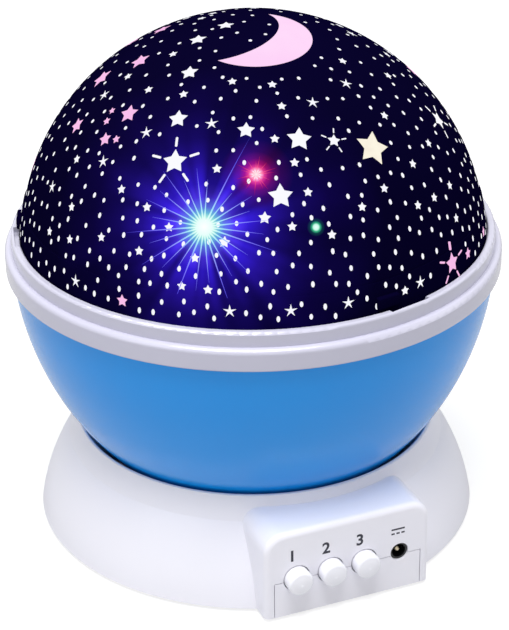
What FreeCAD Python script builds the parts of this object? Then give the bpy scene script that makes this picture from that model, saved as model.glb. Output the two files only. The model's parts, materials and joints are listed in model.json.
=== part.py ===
import math
import os

import FreeCAD, Part
import Sketcher
from FreeCAD import Placement, Rotation, Vector

# Star night light projector: a domed star shade on a turning bowl, which stands in a round base with three
# push buttons. Millimetres, +Z up, front of the control box towards -Y, origin on the floor under the axis.

doc = FreeCAD.newDocument("StarLight")

# Driving sizes, in millimetres and degrees
SIZES = {
    # trim ring
    "ring_radius": 62.5,
    "ring_overhang": 1.6,
    "ring_height": 5.6,
    "ring_step": 1.8,
    "ring_edge_round": 0.6,
    "ring_shoulder_round": 1.3,
    "lip_height": 3.7,
    "lip_width": 2.0,
    "lip_round": 0.7,
    "lip_inner_round": 0.5,
    "ring_flange": 1.3,
    "dome_seat_width": 1.2,
    "notch_angle": 15,
    "notch_width": 11.4,
    "notch_depth": 1.2,
    "notch_height": 1.4,
    # star dome
    "dome_gap": 0.3,
    "dome_drop": 5.6,
    "dome_wall": 1.6,
    "dome_band_step": 0.3,
    "dome_band_height": 7.0,
    "dome_seat_gap": 0.1,
    "tab_angle": 9.5,
    "tab_width": 6.0,
    "tab_height": 3.0,
    "tab_proud": 1.2,
    "tab_root": 0.8,
    "tab_rise": 0.6,
    # bowl
    "bowl_shoulder_height": 69.7,
    "bowl_foot_height": 20.3,
    "bowl_foot_radius": 39.2,
    "bowl_curve": 78.9,
    "bowl_wall": 2.0,
    "spigot_step": 1.9,
    "spigot_height": 4.3,
    "spigot_depth": 4.2,
    "spigot_taper": 3.0,
    "plate_thickness": 1.5,
    "plate_rim_width": 1.4,
    "plate_rim_height": 2.2,
    "plate_boss_radius": 3.8,
    "plate_boss_length": 14.0,
    "plate_boss_inset": 3.4,
    # base
    "foot_height": 0.8,
    "foot_radius": 4.5,
    "foot_circle": 48.6,
    "front_foot_angle": 30,
    "rear_foot_angle": 48,
    "base_radius": 56.9,
    "base_curve": 51.0,
    "base_wall": 2.0,
    "crease_height": 20.8,
    "collar_height": 26.8,
    "collar_width": 0.7,
    "collar_slope": 2.3,
    "collar_round": 0.5,
    "well_gap": 0.8,
    "well_corner_gap": 1.1,
    "tray_height": 17.0,
    "tray_thickness": 2.0,
    "shoulder_thickness": 2.3,
    "journal_radius": 14.05,
    "running_gap": 0.05,
    "bowl_bore_gap": 0.35,
    "wire_hole_radius": 6.2,
    "boss_root": 0.5,
    "shaft_hole_gap": 0.3,
    "fine_chamfer": 0.3,
    "edge_chamfer": 0.4,
    # control box
    "box_reach": 58.0,
    "box_width": 44.0,
    "box_height": 24.2,
    "box_corner": 5.0,
    "box_edge_round": 1.5,
    "box_wall": 2.0,
    "box_root": 40.0,
    "box_cavity_root": 44.5,
    "insert_width": 39.0,
    "parting_height": 10.4,
    "seam_gap": 0.2,
    # buttons and switches
    "button_first": -13.7,
    "button_pitch": 9.0,
    "button_height": 11.0,
    "button_radius": 3.25,
    "button_gap": 0.25,
    "button_proud": 3.5,
    "button_round": 0.9,
    "button_crown": 0.25,
    "button_flange_radius": 4.1,
    "button_flange": 1.0,
    "button_slack": 0.1,
    "button_travel": 1.2,
    "stem_radius": 1.6,
    "stem_length": 0.9,
    "plunger_radius": 1.7,
    "plunger_rest": 0.5,
    "plunger_gap": 0.1,
    "switch_width": 6.0,
    "switch_height": 3.6,
    "switch_floor": 0.3,
    # control board and socket
    "board_reach": 49.0,
    "board_thickness": 1.6,
    "board_width": 37.0,
    "board_low": 4.2,
    "board_high": 21.2,
    "standoff_radius": 2.0,
    "standoff_side": 16.5,
    "standoff_height": 18.6,
    "chip_width": 9.0,
    "chip_depth": 1.4,
    "chip_low": 12.6,
    "chip_high": 17.6,
    "capacitor_radius": 2.5,
    "capacitor_length": 5.0,
    "capacitor_side": 8.5,
    "capacitor_height": 7.5,
    "jack_side": 13.9,
    "jack_height": 11.3,
    "jack_body_width": 9.0,
    "jack_body_height": 7.2,
    "jack_snout_radius": 2.3,
    "jack_snout_gap": 0.1,
    "jack_recess": 0.5,
    "jack_bore_radius": 1.8,
    "jack_bore_depth": 7.0,
    "jack_pin_radius": 0.65,
    "jack_pin_setback": 0.6,
    # bottom cover, battery bay and door
    "cover_thickness": 2.4,
    "cover_gap": 0.5,
    "bay_length": 50.0,
    "bay_width": 33.4,
    "bay_centre": 24.0,
    "bay_wall": 1.2,
    "bay_roof": 1.0,
    "bay_clearance": 0.2,
    "door_thickness": 1.8,
    "door_gap": 0.2,
    "door_pin_radius": 0.6,
    "door_pin_gap": 0.05,
    "door_pin_length": 1.2,
    "door_pull_radius": 7.0,
    "door_pull_depth": 0.7,
    "door_pull_inset": 2.0,
    "cell_radius": 5.25,
    "cell_length": 44.5,
    "cell_pitch": 11.0,
    "cell_gap": 0.3,
    "cell_nub_radius": 1.9,
    "cell_nub_length": 1.0,
    "cell_round": 0.4,
    "contact_thickness": 0.5,
    "contact_width": 9.0,
    "contact_height": 8.0,
    "spring_wire": 0.3,
    "spring_turns": 3.0,
    "spring_sides": 8,
    "spring_wide": 3.6,
    "spring_narrow": 1.9,
    # turning gear, pinion and motor
    "gear_module": 0.8,
    "gear_pressure_angle": 20,
    "ring_teeth": 72,
    "pinion_teeth": 12,
    "gear_thickness": 2.6,
    "gear_backlash": 0.08,
    "ring_addendum": 0.52,
    "gear_dedendum": 1.0,
    "gear_clearance": 0.2,
    "gear_window_radius": 2.4,
    "gear_screw_gap": 3.0,
    "gear_screw_setback": 0.2,
    "thrust_thickness": 0.6,
    "thrust_width": 5.0,
    "thrust_gap": 0.25,
    "retainer_thickness": 0.8,
    "retainer_gap": 0.1,
    "motor_radius": 11.0,
    "motor_height": 10.5,
    "motor_offset": 4.8,
    "motor_round": 0.8,
    "motor_ear_radius": 3.0,
    "motor_ear_reach": 13.6,
    "motor_ear_thickness": 2.0,
    "motor_shaft_radius": 1.0,
    "motor_boss_radius": 2.6,
    "motor_boss_height": 1.5,
    "motor_shaft_depth": 3.0,
    "motor_shaft_gap": 0.1,
    "terminal_side": 4.0,
    "terminal_width": 6.0,
    "terminal_reach": 2.0,
    "terminal_root": 3.0,
    "terminal_low": 2.0,
    "terminal_high": 7.0,
    # lamp
    "post_radius": 8.0,
    "post_bore_radius": 6.0,
    "post_flange_radius": 18.0,
    "post_flange": 2.0,
    "post_top": 72.0,
    "post_root_round": 1.5,
    "screw_seat_gap": 0.1,
    "cup_radius": 23.0,
    "cup_wall": 1.2,
    "cup_floor": 2.0,
    "cup_ledge": 1.8,
    "cup_rim": 1.0,
    "cup_hub_wall": 2.0,
    "cup_hub_length": 4.0,
    "lamp_board_height": 78.4,
    "lamp_gap": 0.3,
    "plate_hole_gap": 1.3,
    "led_radius": 2.5,
    "led_rim_radius": 2.9,
    "led_rim": 1.0,
    "led_length": 8.6,
    "led_circle": 16.0,
    "led_angle": 192.5,
    # screws
    "screw_radius": 1.2,
    "screw_head_radius": 2.4,
    "screw_head_height": 1.5,
    "small_screw_radius": 0.9,
    "small_screw_head_radius": 1.8,
    "small_screw_head_height": 1.2,
    "screw_boss_radius": 3.0,
    "screw_boss_circle": 44.3,
    "front_screw_angle": 45.8,
    "rear_screw_angle": 58.5,
    "cover_screw_length": 9.0,
    "board_screw_length": 5.0,
    "plate_screw_length": 7.5,
    "plate_pilot_depth": 7.0,
    "post_screw_grip": 5.4,
    "motor_screw_grip": 1.4,
    # leads inside the base
    "lead_radius": 0.8,
    "lamp_lead_radius": 1.2,
    "motor_lead_run": 7.0,
}

# Corners of the leads inside the base, between the pieces they join
LEAD_CORNERS = {
    "lamp_lead": [(0, -30, 9), (0, -4, 9.8), (0, 0, 24)],
    "motor_lead": [(24, -30, 8), (14, -39, 7)],
    "battery_lead": [(-16, -4.9, 9), (-12.5, -24, 8.5), (-12, -36, 8)],
}

# Cutting tools reach this far past the faces they cut
PAST = 1

sheet = doc.addObject("Spreadsheet::Sheet", "Sizes")
for row, (alias, number) in enumerate(SIZES.items(), start=1):
    sheet.set(f"A{row}", alias.replace("_", " "))
    sheet.set(f"B{row}", str(number))
    sheet.setAlias(f"B{row}", alias)
doc.recompute()
derived = doc.addObject("App::VarSet", "Derived")


class Size:
    """A number together with the expression of the sheet that gives it."""

    def __init__(self, value, text):
        self.value = value
        self.text = text

    def __add__(self, other):
        other = as_size(other)
        return Size(self.value + other.value, f"({self.text} + {other.text})")

    def __radd__(self, other):
        return as_size(other) + self

    def __sub__(self, other):
        other = as_size(other)
        return Size(self.value - other.value, f"({self.text} - {other.text})")

    def __rsub__(self, other):
        return as_size(other) - self

    def __mul__(self, other):
        other = as_size(other)
        return Size(self.value * other.value, f"({self.text} * {other.text})")

    def __rmul__(self, other):
        return as_size(other) * self

    def __truediv__(self, other):
        other = as_size(other)
        return Size(self.value / other.value, f"({self.text} / {other.text})")

    def __neg__(self):
        return as_size(0) - self


def as_size(number):
    return number if isinstance(number, Size) else Size(float(number), f"({number:g})")


def size(alias):
    return Size(float(sheet.get(alias)), f"Sizes.{alias}")


def root(number):
    return Size(math.sqrt(number.value), f"sqrt({number.text})")


def widest(first, second):
    return Size(max(first.value, second.value), f"max({first.text}; {second.text})")


def cosine(angle):
    angle = as_size(angle)
    return Size(math.cos(math.radians(angle.value)), f"cos({angle.text})")


def sine(angle):
    angle = as_size(angle)
    return Size(math.sin(math.radians(angle.value)), f"sin({angle.text})")


def derive(name, number):
    """Keeps a worked out size under a short name of its own."""
    derived.addProperty("App::PropertyFloat", name)
    derived.setExpression(name, number.text)
    return Size(number.value, f"Derived.{name}")


class Arc:
    """The circle of a given radius through two profile points, bulging away from the axis."""

    def __init__(self, name, radius, low, high):
        run = high[0] - low[0]
        rise = high[1] - low[1]
        chord = root(run * run + rise * rise)
        lean = derive(name + "_lean", root(radius * radius - chord * chord / 4) / chord)
        self.radius = radius
        self.x = derive(name + "_x", (low[0] + high[0]) / 2 - rise * lean)
        self.z = derive(name + "_z", (low[1] + high[1]) / 2 + run * lean)

    def at(self, height, offset=0):
        """Distance from the axis at a height, on the circle moved outwards by the offset."""
        reach = self.radius + offset
        drop = height - self.z
        return self.x + root(reach * reach - drop * drop)

    def height(self, out, offset=0):
        """Height at a distance from the axis, on the lower half of the circle moved outwards by the offset."""
        reach = self.radius + offset
        run = out - self.x
        return self.z - root(reach * reach - run * run)


# Object helpers

TURN_TO_Y = Rotation(Vector(1, 0, 0), -90)
TURN_TO_FRONT = Rotation(Vector(1, 0, 0), 90)
TURN_TO_X = Rotation(Vector(0, 1, 0), 90)
TURN_OVER = Rotation(Vector(1, 0, 0), 180)


def place(item, x, y, z, turn=None):
    spot = [as_size(x), as_size(y), as_size(z)]
    item.Placement = Placement(Vector(*[s.value for s in spot]), turn or Rotation())
    for axis, s in zip("xyz", spot):
        item.setExpression(f".Placement.Base.{axis}", s.text)
    return item


def place_round(item, angle, out, z):
    """Turns a box to face outwards at an angle from the front, its width centred on that heading."""
    half = Size(item.Width.Value / 2, f"({item.Name}.Width / 2mm)")
    x = out * sine(angle) - half * cosine(angle)
    y = -(out * cosine(angle)) - half * sine(angle)
    return place(item, x, y, z, Rotation(Vector(0, 0, 1), angle.value - 90))


def bind(item, **sizes):
    for name, number in sizes.items():
        number = as_size(number)
        setattr(item, name, number.value)
        item.setExpression(name, number.text)
    return item


def box(label, low, high):
    low = [as_size(v) for v in low]
    high = [as_size(v) for v in high]
    item = doc.addObject("Part::Box", label)
    bind(item, Length=high[0] - low[0], Width=high[1] - low[1], Height=high[2] - low[2])
    return place(item, *low)


def rod(label, radius, length, x, y, z, turn=None):
    item = doc.addObject("Part::Cylinder", label)
    bind(item, Radius=radius, Height=length)
    return place(item, x, y, z, turn)


def cut(label, base, *tools):
    item = doc.addObject("Part::Cut", label)
    item.Base = base
    item.Tool = tools[0] if len(tools) == 1 else fuse(label + "_tools", *tools)
    return item


def fuse(label, *shapes):
    item = doc.addObject("Part::MultiFuse", label)
    item.Shapes = list(shapes)
    return item


def group(label, shapes):
    """Separate solids that share one node."""
    item = doc.addObject("Part::Compound", label)
    item.Links = list(shapes)
    return item


def arc_edge(start, end, radius):
    """Arc between two points, its centre on the left when the radius is positive, and the ends it has."""
    chord = end - start
    reach = abs(radius)
    side = Vector(-chord.y, chord.x, 0).normalize()
    height = math.sqrt(max(reach * reach - chord.Length ** 2 / 4, 0))
    centre = start + chord * 0.5 + side * math.copysign(height, radius)
    first, last = (start, end) if radius > 0 else (end, start)
    begin = math.atan2(first.y - centre.y, first.x - centre.x)
    finish = math.atan2(last.y - centre.y, last.x - centre.x)
    if finish < begin:
        finish += 2 * math.pi
    circle = Part.Circle(centre, Vector(0, 0, 1), reach)
    return Part.ArcOfCircle(circle, begin, finish), (1, 2) if radius > 0 else (2, 1)


def outline(body, name, plane, corners, arcs=None, height=None):
    """Closed sketch through the corners. arcs gives the radius of the side that starts at a corner."""
    arcs = arcs or {}
    sketch = body.newObject("Sketcher::SketchObject", name)
    origin = [f for f in body.Origin.OriginFeatures if f.Role == plane][0]
    sketch.AttachmentSupport = [(origin, "")]
    sketch.MapMode = "FlatFace"
    if height is not None:
        sketch.AttachmentOffset = Placement(Vector(0, 0, height.value), Rotation())
        sketch.setExpression(".AttachmentOffset.Base.z", height.text)
    corners = [(as_size(x), as_size(y)) for x, y in corners]
    spots = [Vector(x.value, y.value, 0) for x, y in corners]
    ends = []
    for i, spot in enumerate(spots):
        target = spots[(i + 1) % len(spots)]
        if i in arcs:
            edge, pair = arc_edge(spot, target, arcs[i].value)
        else:
            edge, pair = Part.LineSegment(spot, target), (1, 2)
        sketch.addGeometry(edge)
        ends.append(pair)
    for i, (x, y) in enumerate(corners):
        following = (i + 1) % len(corners)
        joined = Sketcher.Constraint("Coincident", i, ends[i][1], following, ends[following][0])
        sketch.addConstraint(joined)
        for kind, axis, number in (("DistanceX", -2, x), ("DistanceY", -1, y)):
            if number.text == "(0)":
                sketch.addConstraint(Sketcher.Constraint("PointOnObject", i, ends[i][0], axis))
                continue
            place_at = Sketcher.Constraint(kind, -1, 1, i, ends[i][0], number.value)
            sketch.setExpression(f"Constraints[{sketch.addConstraint(place_at)}]", number.text)
        if i in arcs:
            bend = Sketcher.Constraint("Radius", i, abs(arcs[i].value))
            sketch.setExpression(f"Constraints[{sketch.addConstraint(bend)}]", f"abs({arcs[i].text})")
    return sketch


def turned(label, corners, arcs=None):
    """A body of revolution about Z from its half profile of (radius, height) corners."""
    body = doc.addObject("PartDesign::Body", label)
    sketch = outline(body, label + "_profile", "XZ_Plane", corners, arcs)
    turn = body.newObject("PartDesign::Revolution", label + "_turn")
    turn.Profile = (sketch, [""])
    turn.ReferenceAxis = (sketch, ["V_Axis"])
    turn.Angle = 360
    return body


def padded(label, plane, corners, arcs, height, length):
    """A body padded from its outline by a length, starting a height off the plane."""
    body = doc.addObject("PartDesign::Body", label)
    sketch = outline(body, label + "_outline", plane, corners, arcs, height)
    pad = body.newObject("PartDesign::Pad", label + "_pad")
    pad.Profile = (sketch, [""])
    bind(pad, Length=length)
    return body


def made(label, shape):
    """A piece whose shape comes from a formula."""
    item = doc.addObject("Part::Feature", label)
    item.Shape = shape
    return item


def polar(radius, angle):
    """Place on a circle, the angle counted from the front towards +X."""
    return radius * sine(angle), -(radius * cosine(angle))


def screw(label, kind, length, x, y, z, turn=None):
    """Pan head screw with a round drive recess, its head's flat underside at the given place."""
    shank = size(kind + "screw_radius")
    head = size(kind + "screw_head_radius")
    height = size(kind + "screw_head_height")
    recess = shank * 0.6
    corners = [
        (0, -length), (shank * 0.4, -length), (shank, shank - length), (shank, 0), (head, 0),
        (head, height * 0.4), (head * 0.6, height), (recess, height), (recess, height * 0.4),
        (0, height * 0.4),
    ]
    return place(turned(label, corners, {5: head * 0.75}), x, y, z, turn)


def main_screw(label, length, x, y, z, turn=None):
    return screw(label, "", length, x, y, z, turn)


nodes = []


def node(item):
    nodes.append(item)


# Sizes that several pieces share

seam = size("seam_gap")
floor_height = size("foot_height")
ring_radius = size("ring_radius")
shoulder = size("bowl_shoulder_height")
bowl_radius = ring_radius - size("ring_overhang")
spigot_radius = bowl_radius - size("spigot_step")
spigot_top = derive("spigot_top", shoulder + size("spigot_height"))
plate_top = derive("plate_top", spigot_top + size("plate_thickness"))
seat_height = derive("seat_height", plate_top + size("ring_flange"))
ledge_height = derive("ledge_height", shoulder + size("ring_height"))
lip_top = derive("lip_top", ledge_height + size("lip_height"))
lip_radius = derive("lip_radius", ring_radius - size("ring_step"))
lip_inner = derive("lip_inner", lip_radius - size("lip_width"))
band_step = size("dome_band_step")
rim_radius = lip_inner - size("dome_gap") - band_step
dome_centre = derive("dome_centre", lip_top - size("dome_drop"))
dome_radius = derive("dome_radius", root(rim_radius * rim_radius + size("dome_drop") * size("dome_drop")))

bowl_foot = size("bowl_foot_height")
bowl_foot_radius = size("bowl_foot_radius")
bowl_wall = size("bowl_wall")
bowl_floor_top = derive("bowl_floor_top", bowl_foot + bowl_wall)
bowl_arc = Arc("bowl_arc", size("bowl_curve"), (bowl_foot_radius, bowl_foot), (bowl_radius, shoulder))

gear_module = size("gear_module")
ring_pitch = gear_module * size("ring_teeth") / 2
pinion_pitch = gear_module * size("pinion_teeth") / 2
shaft_x = derive("shaft_x", ring_pitch + pinion_pitch)
gear_bottom = derive("gear_bottom", bowl_foot - size("gear_thickness"))
gear_reach = derive("gear_reach", shaft_x + pinion_pitch + gear_module)
motor_x = derive("motor_x", shaft_x + size("motor_offset"))

well_gap = size("well_gap")
collar_top = size("collar_height")
collar_inner = derive("collar_inner", bowl_arc.at(collar_top, well_gap))
collar_outer = derive("collar_outer", collar_inner + size("collar_width"))
crease_radius = derive("crease_radius", collar_outer + size("collar_slope"))
crease_height = size("crease_height")
base_radius = size("base_radius")
base_wall = size("base_wall")
base_arc = Arc("base_arc", size("base_curve"), (base_radius, floor_height), (crease_radius, crease_height))
tray_top = size("tray_height")
tray_bottom = derive("tray_bottom", tray_top - size("tray_thickness"))
well_radius = derive("well_radius", widest(bowl_foot_radius, gear_reach) + size("well_corner_gap"))
well_top = derive("well_top", bowl_arc.height(well_radius, well_gap))
journal_radius = size("journal_radius")
journal_top = derive("journal_top", bowl_floor_top + size("retainer_thickness") + size("retainer_gap"))
bowl_bore = journal_radius + size("bowl_bore_gap")
wire_hole = size("wire_hole_radius")
boss_root = size("boss_root")
fine = size("fine_chamfer")
chamfer = size("edge_chamfer")

reach = size("box_reach")
box_wall = size("box_wall")
wall_inside = derive("wall_inside", reach - box_wall)
half_insert = size("insert_width") / 2
parting = size("parting_height")
button_z = size("button_height")
button_hole = size("button_radius") + size("button_gap")
button_xs = [size("button_first") + size("button_pitch") * i for i in range(3)]
jack_x = size("jack_side")
jack_z = size("jack_height")
jack_hole = size("jack_snout_radius") + size("jack_snout_gap")
jack_tip = reach - size("jack_recess")
board_front = size("board_reach")
board_back = board_front - size("board_thickness")

cover_top = derive("cover_top", floor_height + size("cover_thickness"))
bay_half_length = size("bay_length") / 2
bay_half_width = size("bay_width") / 2
bay_centre = size("bay_centre")
bay_front = derive("bay_front", bay_centre - bay_half_width)
bay_back = derive("bay_back", bay_centre + bay_half_width)
bay_wall = size("bay_wall")
door_top = derive("door_top", floor_height + size("door_thickness"))
door_edge = size("door_thickness") / 2
hinge_y = derive("hinge_y", bay_front + size("door_gap") + door_edge)
hinge_z = derive("hinge_z", floor_height + door_edge)
cell_z = derive("cell_z", door_top + size("cell_gap") + size("cell_radius"))
bay_ceiling = derive("bay_ceiling", cell_z + size("cell_radius") + size("bay_clearance"))

board_low_z = size("lamp_board_height")
board_high_z = derive("board_high_z", board_low_z + size("board_thickness"))
cup_radius = size("cup_radius")
cup_inner = cup_radius - size("cup_wall")
post_top = size("post_top")
cup_floor_top = post_top + size("cup_floor")
hub_radius = size("post_radius") + size("cup_hub_wall")

corner_screws = []
for side in (-1, 1):
    corner_screws.append(polar(size("screw_boss_circle"), side * size("front_screw_angle")))
    corner_screws.append(polar(size("screw_boss_circle"), side * (180 - size("rear_screw_angle"))))


def front_holes(label):
    """Cutting rods for the three button holes and the socket hole in the front wall."""
    start = PAST - wall_inside
    length = box_wall + 2 * PAST
    holes = [
        rod(f"{label}_button_hole_{i}", button_hole, length, x, start, button_z, TURN_TO_FRONT)
        for i, x in enumerate(button_xs, start=1)
    ]
    holes.append(rod(f"{label}_jack_hole", jack_hole, length, jack_x, start, jack_z, TURN_TO_FRONT))
    return holes


def base_shell():
    """White base: sloped side, collar round the bowl, tray with the bowl's journal, and control box."""
    outer = turned(
        "base_outside",
        [
            (0, floor_height), (base_radius, floor_height), (crease_radius, crease_height),
            (collar_outer, collar_top - size("collar_round")),
            (collar_outer - size("collar_round"), collar_top), (0, collar_top),
        ],
        {1: size("base_curve"), 3: size("collar_round")},
    )
    half = size("box_width") / 2
    corner = size("box_corner")
    top = size("box_height")
    block = padded(
        "box_outside",
        "XZ_Plane",
        [(-half, floor_height), (half, floor_height), (half, top - corner), (half - corner, top),
         (corner - half, top), (-half, top - corner)],
        {2: corner, 4: corner},
        size("box_root"),
        reach - size("box_root"),
    )
    doc.recompute()
    front = [
        f"Edge{i}" for i, edge in enumerate(block.Shape.Edges, start=1)
        if all(abs(v.Y + reach.value) < 0.01 for v in edge.Vertexes)
        and edge.BoundBox.ZMax > floor_height.value + 0.01
    ]
    pad = block.Tip
    rounding = block.newObject("PartDesign::Fillet", "box_front_round")
    rounding.Base = (pad, front)
    bind(rounding, Radius=size("box_edge_round"))

    below = floor_height - PAST
    under = crease_height - size("shoulder_thickness")
    tray_rim = well_radius + size("tray_thickness")
    hollow = turned(
        "base_hollow",
        [
            (0, below), (base_arc.at(floor_height, -base_wall), below),
            (base_arc.at(floor_height, -base_wall), floor_height), (base_arc.at(under, -base_wall), under),
            (tray_rim, under), (tray_rim, tray_bottom), (0, tray_bottom),
        ],
        {2: size("base_curve") - base_wall},
    )
    well = turned(
        "base_well",
        [
            (journal_radius, tray_top), (well_radius, tray_top), (well_radius, well_top),
            (collar_inner, collar_top), (collar_inner, collar_top + PAST), (0, collar_top + PAST),
            (0, journal_top), (journal_radius, journal_top),
        ],
        {2: size("bowl_curve") + well_gap},
    )
    box_hollow = box(
        "box_hollow",
        (box_wall - half, -wall_inside, below),
        (half - box_wall, -size("box_cavity_root"), top - box_wall),
    )
    window = box(
        "insert_window",
        (-half_insert - seam, -reach - PAST, below),
        (half_insert + seam, -wall_inside + PAST, parting + seam),
    )
    block = fuse("base_block", outer, block)
    shell = cut("base_hollowed", block, hollow, well, box_hollow, window, *front_holes("shell"))

    posts = [
        rod(f"cover_boss_{i}", size("screw_boss_radius"), under - cover_top + boss_root, x, y, cover_top)
        for i, (x, y) in enumerate(corner_screws, start=1)
    ]
    posts += [
        rod(f"board_standoff_{i}", size("standoff_radius"), wall_inside - board_front + boss_root,
            side * size("standoff_side"), -wall_inside - boss_root, size("standoff_height"), TURN_TO_Y)
        for i, side in enumerate((-1, 1), start=1)
    ]
    bores = [
        rod(f"cover_pilot_{i}", size("screw_radius"), size("cover_screw_length"), x, y, cover_top)
        for i, (x, y) in enumerate(corner_screws, start=1)
    ]
    bores += [
        rod(f"board_pilot_{i}", size("small_screw_radius"), size("board_screw_length"),
            side * size("standoff_side"), -board_front - size("board_screw_length"),
            size("standoff_height"), TURN_TO_Y)
        for i, side in enumerate((-1, 1), start=1)
    ]
    bores += [
        rod(f"post_pilot_{i}", size("small_screw_radius"), size("post_screw_grip"), x, y,
            journal_top - size("post_screw_grip"))
        for i, (x, y) in enumerate(post_screw_places(), start=1)
    ]
    bores += [
        rod(f"motor_pilot_{i}", size("small_screw_radius"), size("motor_screw_grip"), motor_x, y,
            tray_bottom)
        for i, y in enumerate(motor_ear_places(), start=1)
    ]
    bores.append(rod("wire_hole", wire_hole, journal_top, 0, 0, tray_bottom - PAST))
    bores.append(
        rod("shaft_hole", size("motor_boss_radius") + size("shaft_hole_gap"),
            size("tray_thickness") + 2 * PAST, shaft_x, 0, tray_bottom - PAST)
    )
    return cut("base_shell", fuse("base_with_bosses", shell, *posts), *bores)


def post_screw_places():
    circle = (size("post_radius") + journal_radius) / 2
    return [polar(circle, 60 + 120 * i) for i in range(3)]


def motor_ear_places():
    return [side * size("motor_ear_reach") for side in (-1, 1)]


def bottom_cover():
    """Bottom cover with the battery bay, and the upright front strip that closes the control box."""
    edge = base_arc.at(cover_top, -base_wall) - size("cover_gap")
    disc = turned(
        "cover_disc", [(0, floor_height), (edge, floor_height), (edge, cover_top), (0, cover_top)],
    )
    tongue = box(
        "cover_tongue",
        (-half_insert, -reach, floor_height),
        (half_insert, -size("box_cavity_root"), cover_top),
    )
    strip = box("cover_strip", (-half_insert, -reach, floor_height), (half_insert, -wall_inside, parting))
    bay = box(
        "bay_outside",
        (-bay_half_length - bay_wall, bay_front - bay_wall, floor_height),
        (bay_half_length + bay_wall, bay_back + bay_wall, bay_ceiling + size("bay_roof")),
    )
    room = box(
        "bay_room",
        (-bay_half_length, bay_front, floor_height - PAST),
        (bay_half_length, bay_back, bay_ceiling),
    )
    cuts = [room, *front_holes("strip")]
    for i, (x, y) in enumerate(corner_screws, start=1):
        cuts.append(
            rod(f"cover_screw_hole_{i}", size("screw_radius"), size("cover_thickness") + 2 * PAST,
                x, y, floor_height - PAST)
        )
        cuts.append(
            rod(f"cover_counterbore_{i}", size("screw_head_radius") + seam,
                size("screw_head_height") + PAST, x, y, floor_height - PAST)
        )
    pin_hole = size("door_pin_radius") + size("door_pin_gap")
    pin_reach = size("door_pin_length") + size("door_gap")
    for i, side in enumerate((-1, 1), start=1):
        start = -bay_half_length - pin_reach if side < 0 else bay_half_length - PAST
        cuts.append(rod(f"hinge_hole_{i}", pin_hole, pin_reach + PAST, start, hinge_y, hinge_z, TURN_TO_X))
    return cut("bottom_cover", fuse("cover_block", disc, tongue, strip, bay), *cuts)


def rubber_feet():
    feet = []
    for i, angle in enumerate((size("front_foot_angle"), 180 - size("rear_foot_angle"))):
        for side in (-1, 1):
            x, y = polar(size("foot_circle"), side * angle)
            radius = size("foot_radius")
            corners = [
                (0, 0), (radius - fine, 0), (radius, fine), (radius, floor_height), (0, floor_height),
            ]
            feet.append(place(turned(f"foot_{i}_{side + 1}", corners), x, y, 0))
    return group("rubber_feet", feet)


def cover_screws():
    seat = floor_height + size("screw_head_height")
    return group(
        "cover_screws",
        [
            main_screw(f"cover_screw_{i}", size("cover_screw_length"), x, y, seat, TURN_OVER)
            for i, (x, y) in enumerate(corner_screws, start=1)
        ],
    )


def battery_door():
    """Flat door over the cells, with a round front edge and two pins that turn in the cover."""
    half = bay_half_length - size("door_gap")
    back = bay_back - size("door_gap")
    panel = box("door_panel", (-half, hinge_y, floor_height), (half, back, door_top))
    edge = rod("door_edge", door_edge, half * 2, -half, hinge_y, hinge_z, TURN_TO_X)
    pin = rod(
        "door_pins", size("door_pin_radius"), (half + size("door_pin_length")) * 2,
        -half - size("door_pin_length"), hinge_y, hinge_z, TURN_TO_X,
    )
    pull = rod(
        "door_pull", size("door_pull_radius"), size("door_pull_depth") + PAST,
        0, back + size("door_pull_inset"), floor_height - PAST,
    )
    return cut("battery_door", fuse("door_block", panel, edge, pin), pull)


def battery(index):
    """AAA cell along X, turned the other way round from its neighbour."""
    side = 1 if index % 2 else -1
    y = bay_centre + size("cell_pitch") * (index - 2)
    radius = size("cell_radius")
    nub = size("cell_nub_radius")
    length = size("cell_length")
    body = length - size("cell_nub_length")
    soft = size("cell_round")
    corners = [
        (0, 0), (radius - soft, 0), (radius, soft), (radius, body - soft), (radius - soft, body),
        (nub, body), (nub, length), (0, length),
    ]
    cell = turned(f"battery_{index}", corners, {1: soft, 3: soft})
    tip = bay_half_length - size("contact_thickness")
    start = (tip - length) if side > 0 else (length - tip)
    turn = TURN_TO_X if side > 0 else Rotation(Vector(0, 1, 0), -90)
    return place(cell, start, y, cell_z, turn)


def battery_springs():
    """Cone springs that press on the flat end of each cell, as short runs joined by arcs."""
    wire = size("spring_wire")
    start = bay_half_length - size("contact_thickness") - wire
    height = 2 * start - size("cell_length")
    turns = size("spring_turns").value
    steps = int(turns * size("spring_sides").value)
    springs = []
    for index in (1, 2, 3):
        side = 1 if index % 2 else -1
        y = bay_centre + size("cell_pitch") * (index - 2)
        points = []
        for i in range(steps + 1):
            share = i / steps
            angle = 2 * math.pi * turns * share
            reach = size("spring_wide") + (size("spring_narrow") - size("spring_wide")) * share
            across = y + reach * math.cos(angle)
            points.append((-side * (start - height * share), across, cell_z + reach * math.sin(angle)))
        springs.append(lead(f"battery_spring_{index}", wire, points))
    return group("battery_springs", springs)


def battery_contacts():
    """Sheet contacts at both ends of the bay: two single ones and two that join a pair of cells."""
    plates = []
    half = size("contact_width") / 2
    tall = size("contact_height") / 2
    pitch = size("cell_pitch")
    for side, spans in ((-1, ((-1, -1), (0, 1))), (1, ((-1, 0), (1, 1)))):
        outer = side * bay_half_length
        inner = side * (bay_half_length - size("contact_thickness"))
        low, high = (outer, inner) if side < 0 else (inner, outer)
        for first, last in spans:
            plates.append(
                box(
                    f"contact_{side + 1}_{first + 1}",
                    (low, bay_centre + first * pitch - half, cell_z - tall),
                    (high, bay_centre + last * pitch + half, cell_z + tall),
                )
            )
    return group("battery_contacts", plates)


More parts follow.
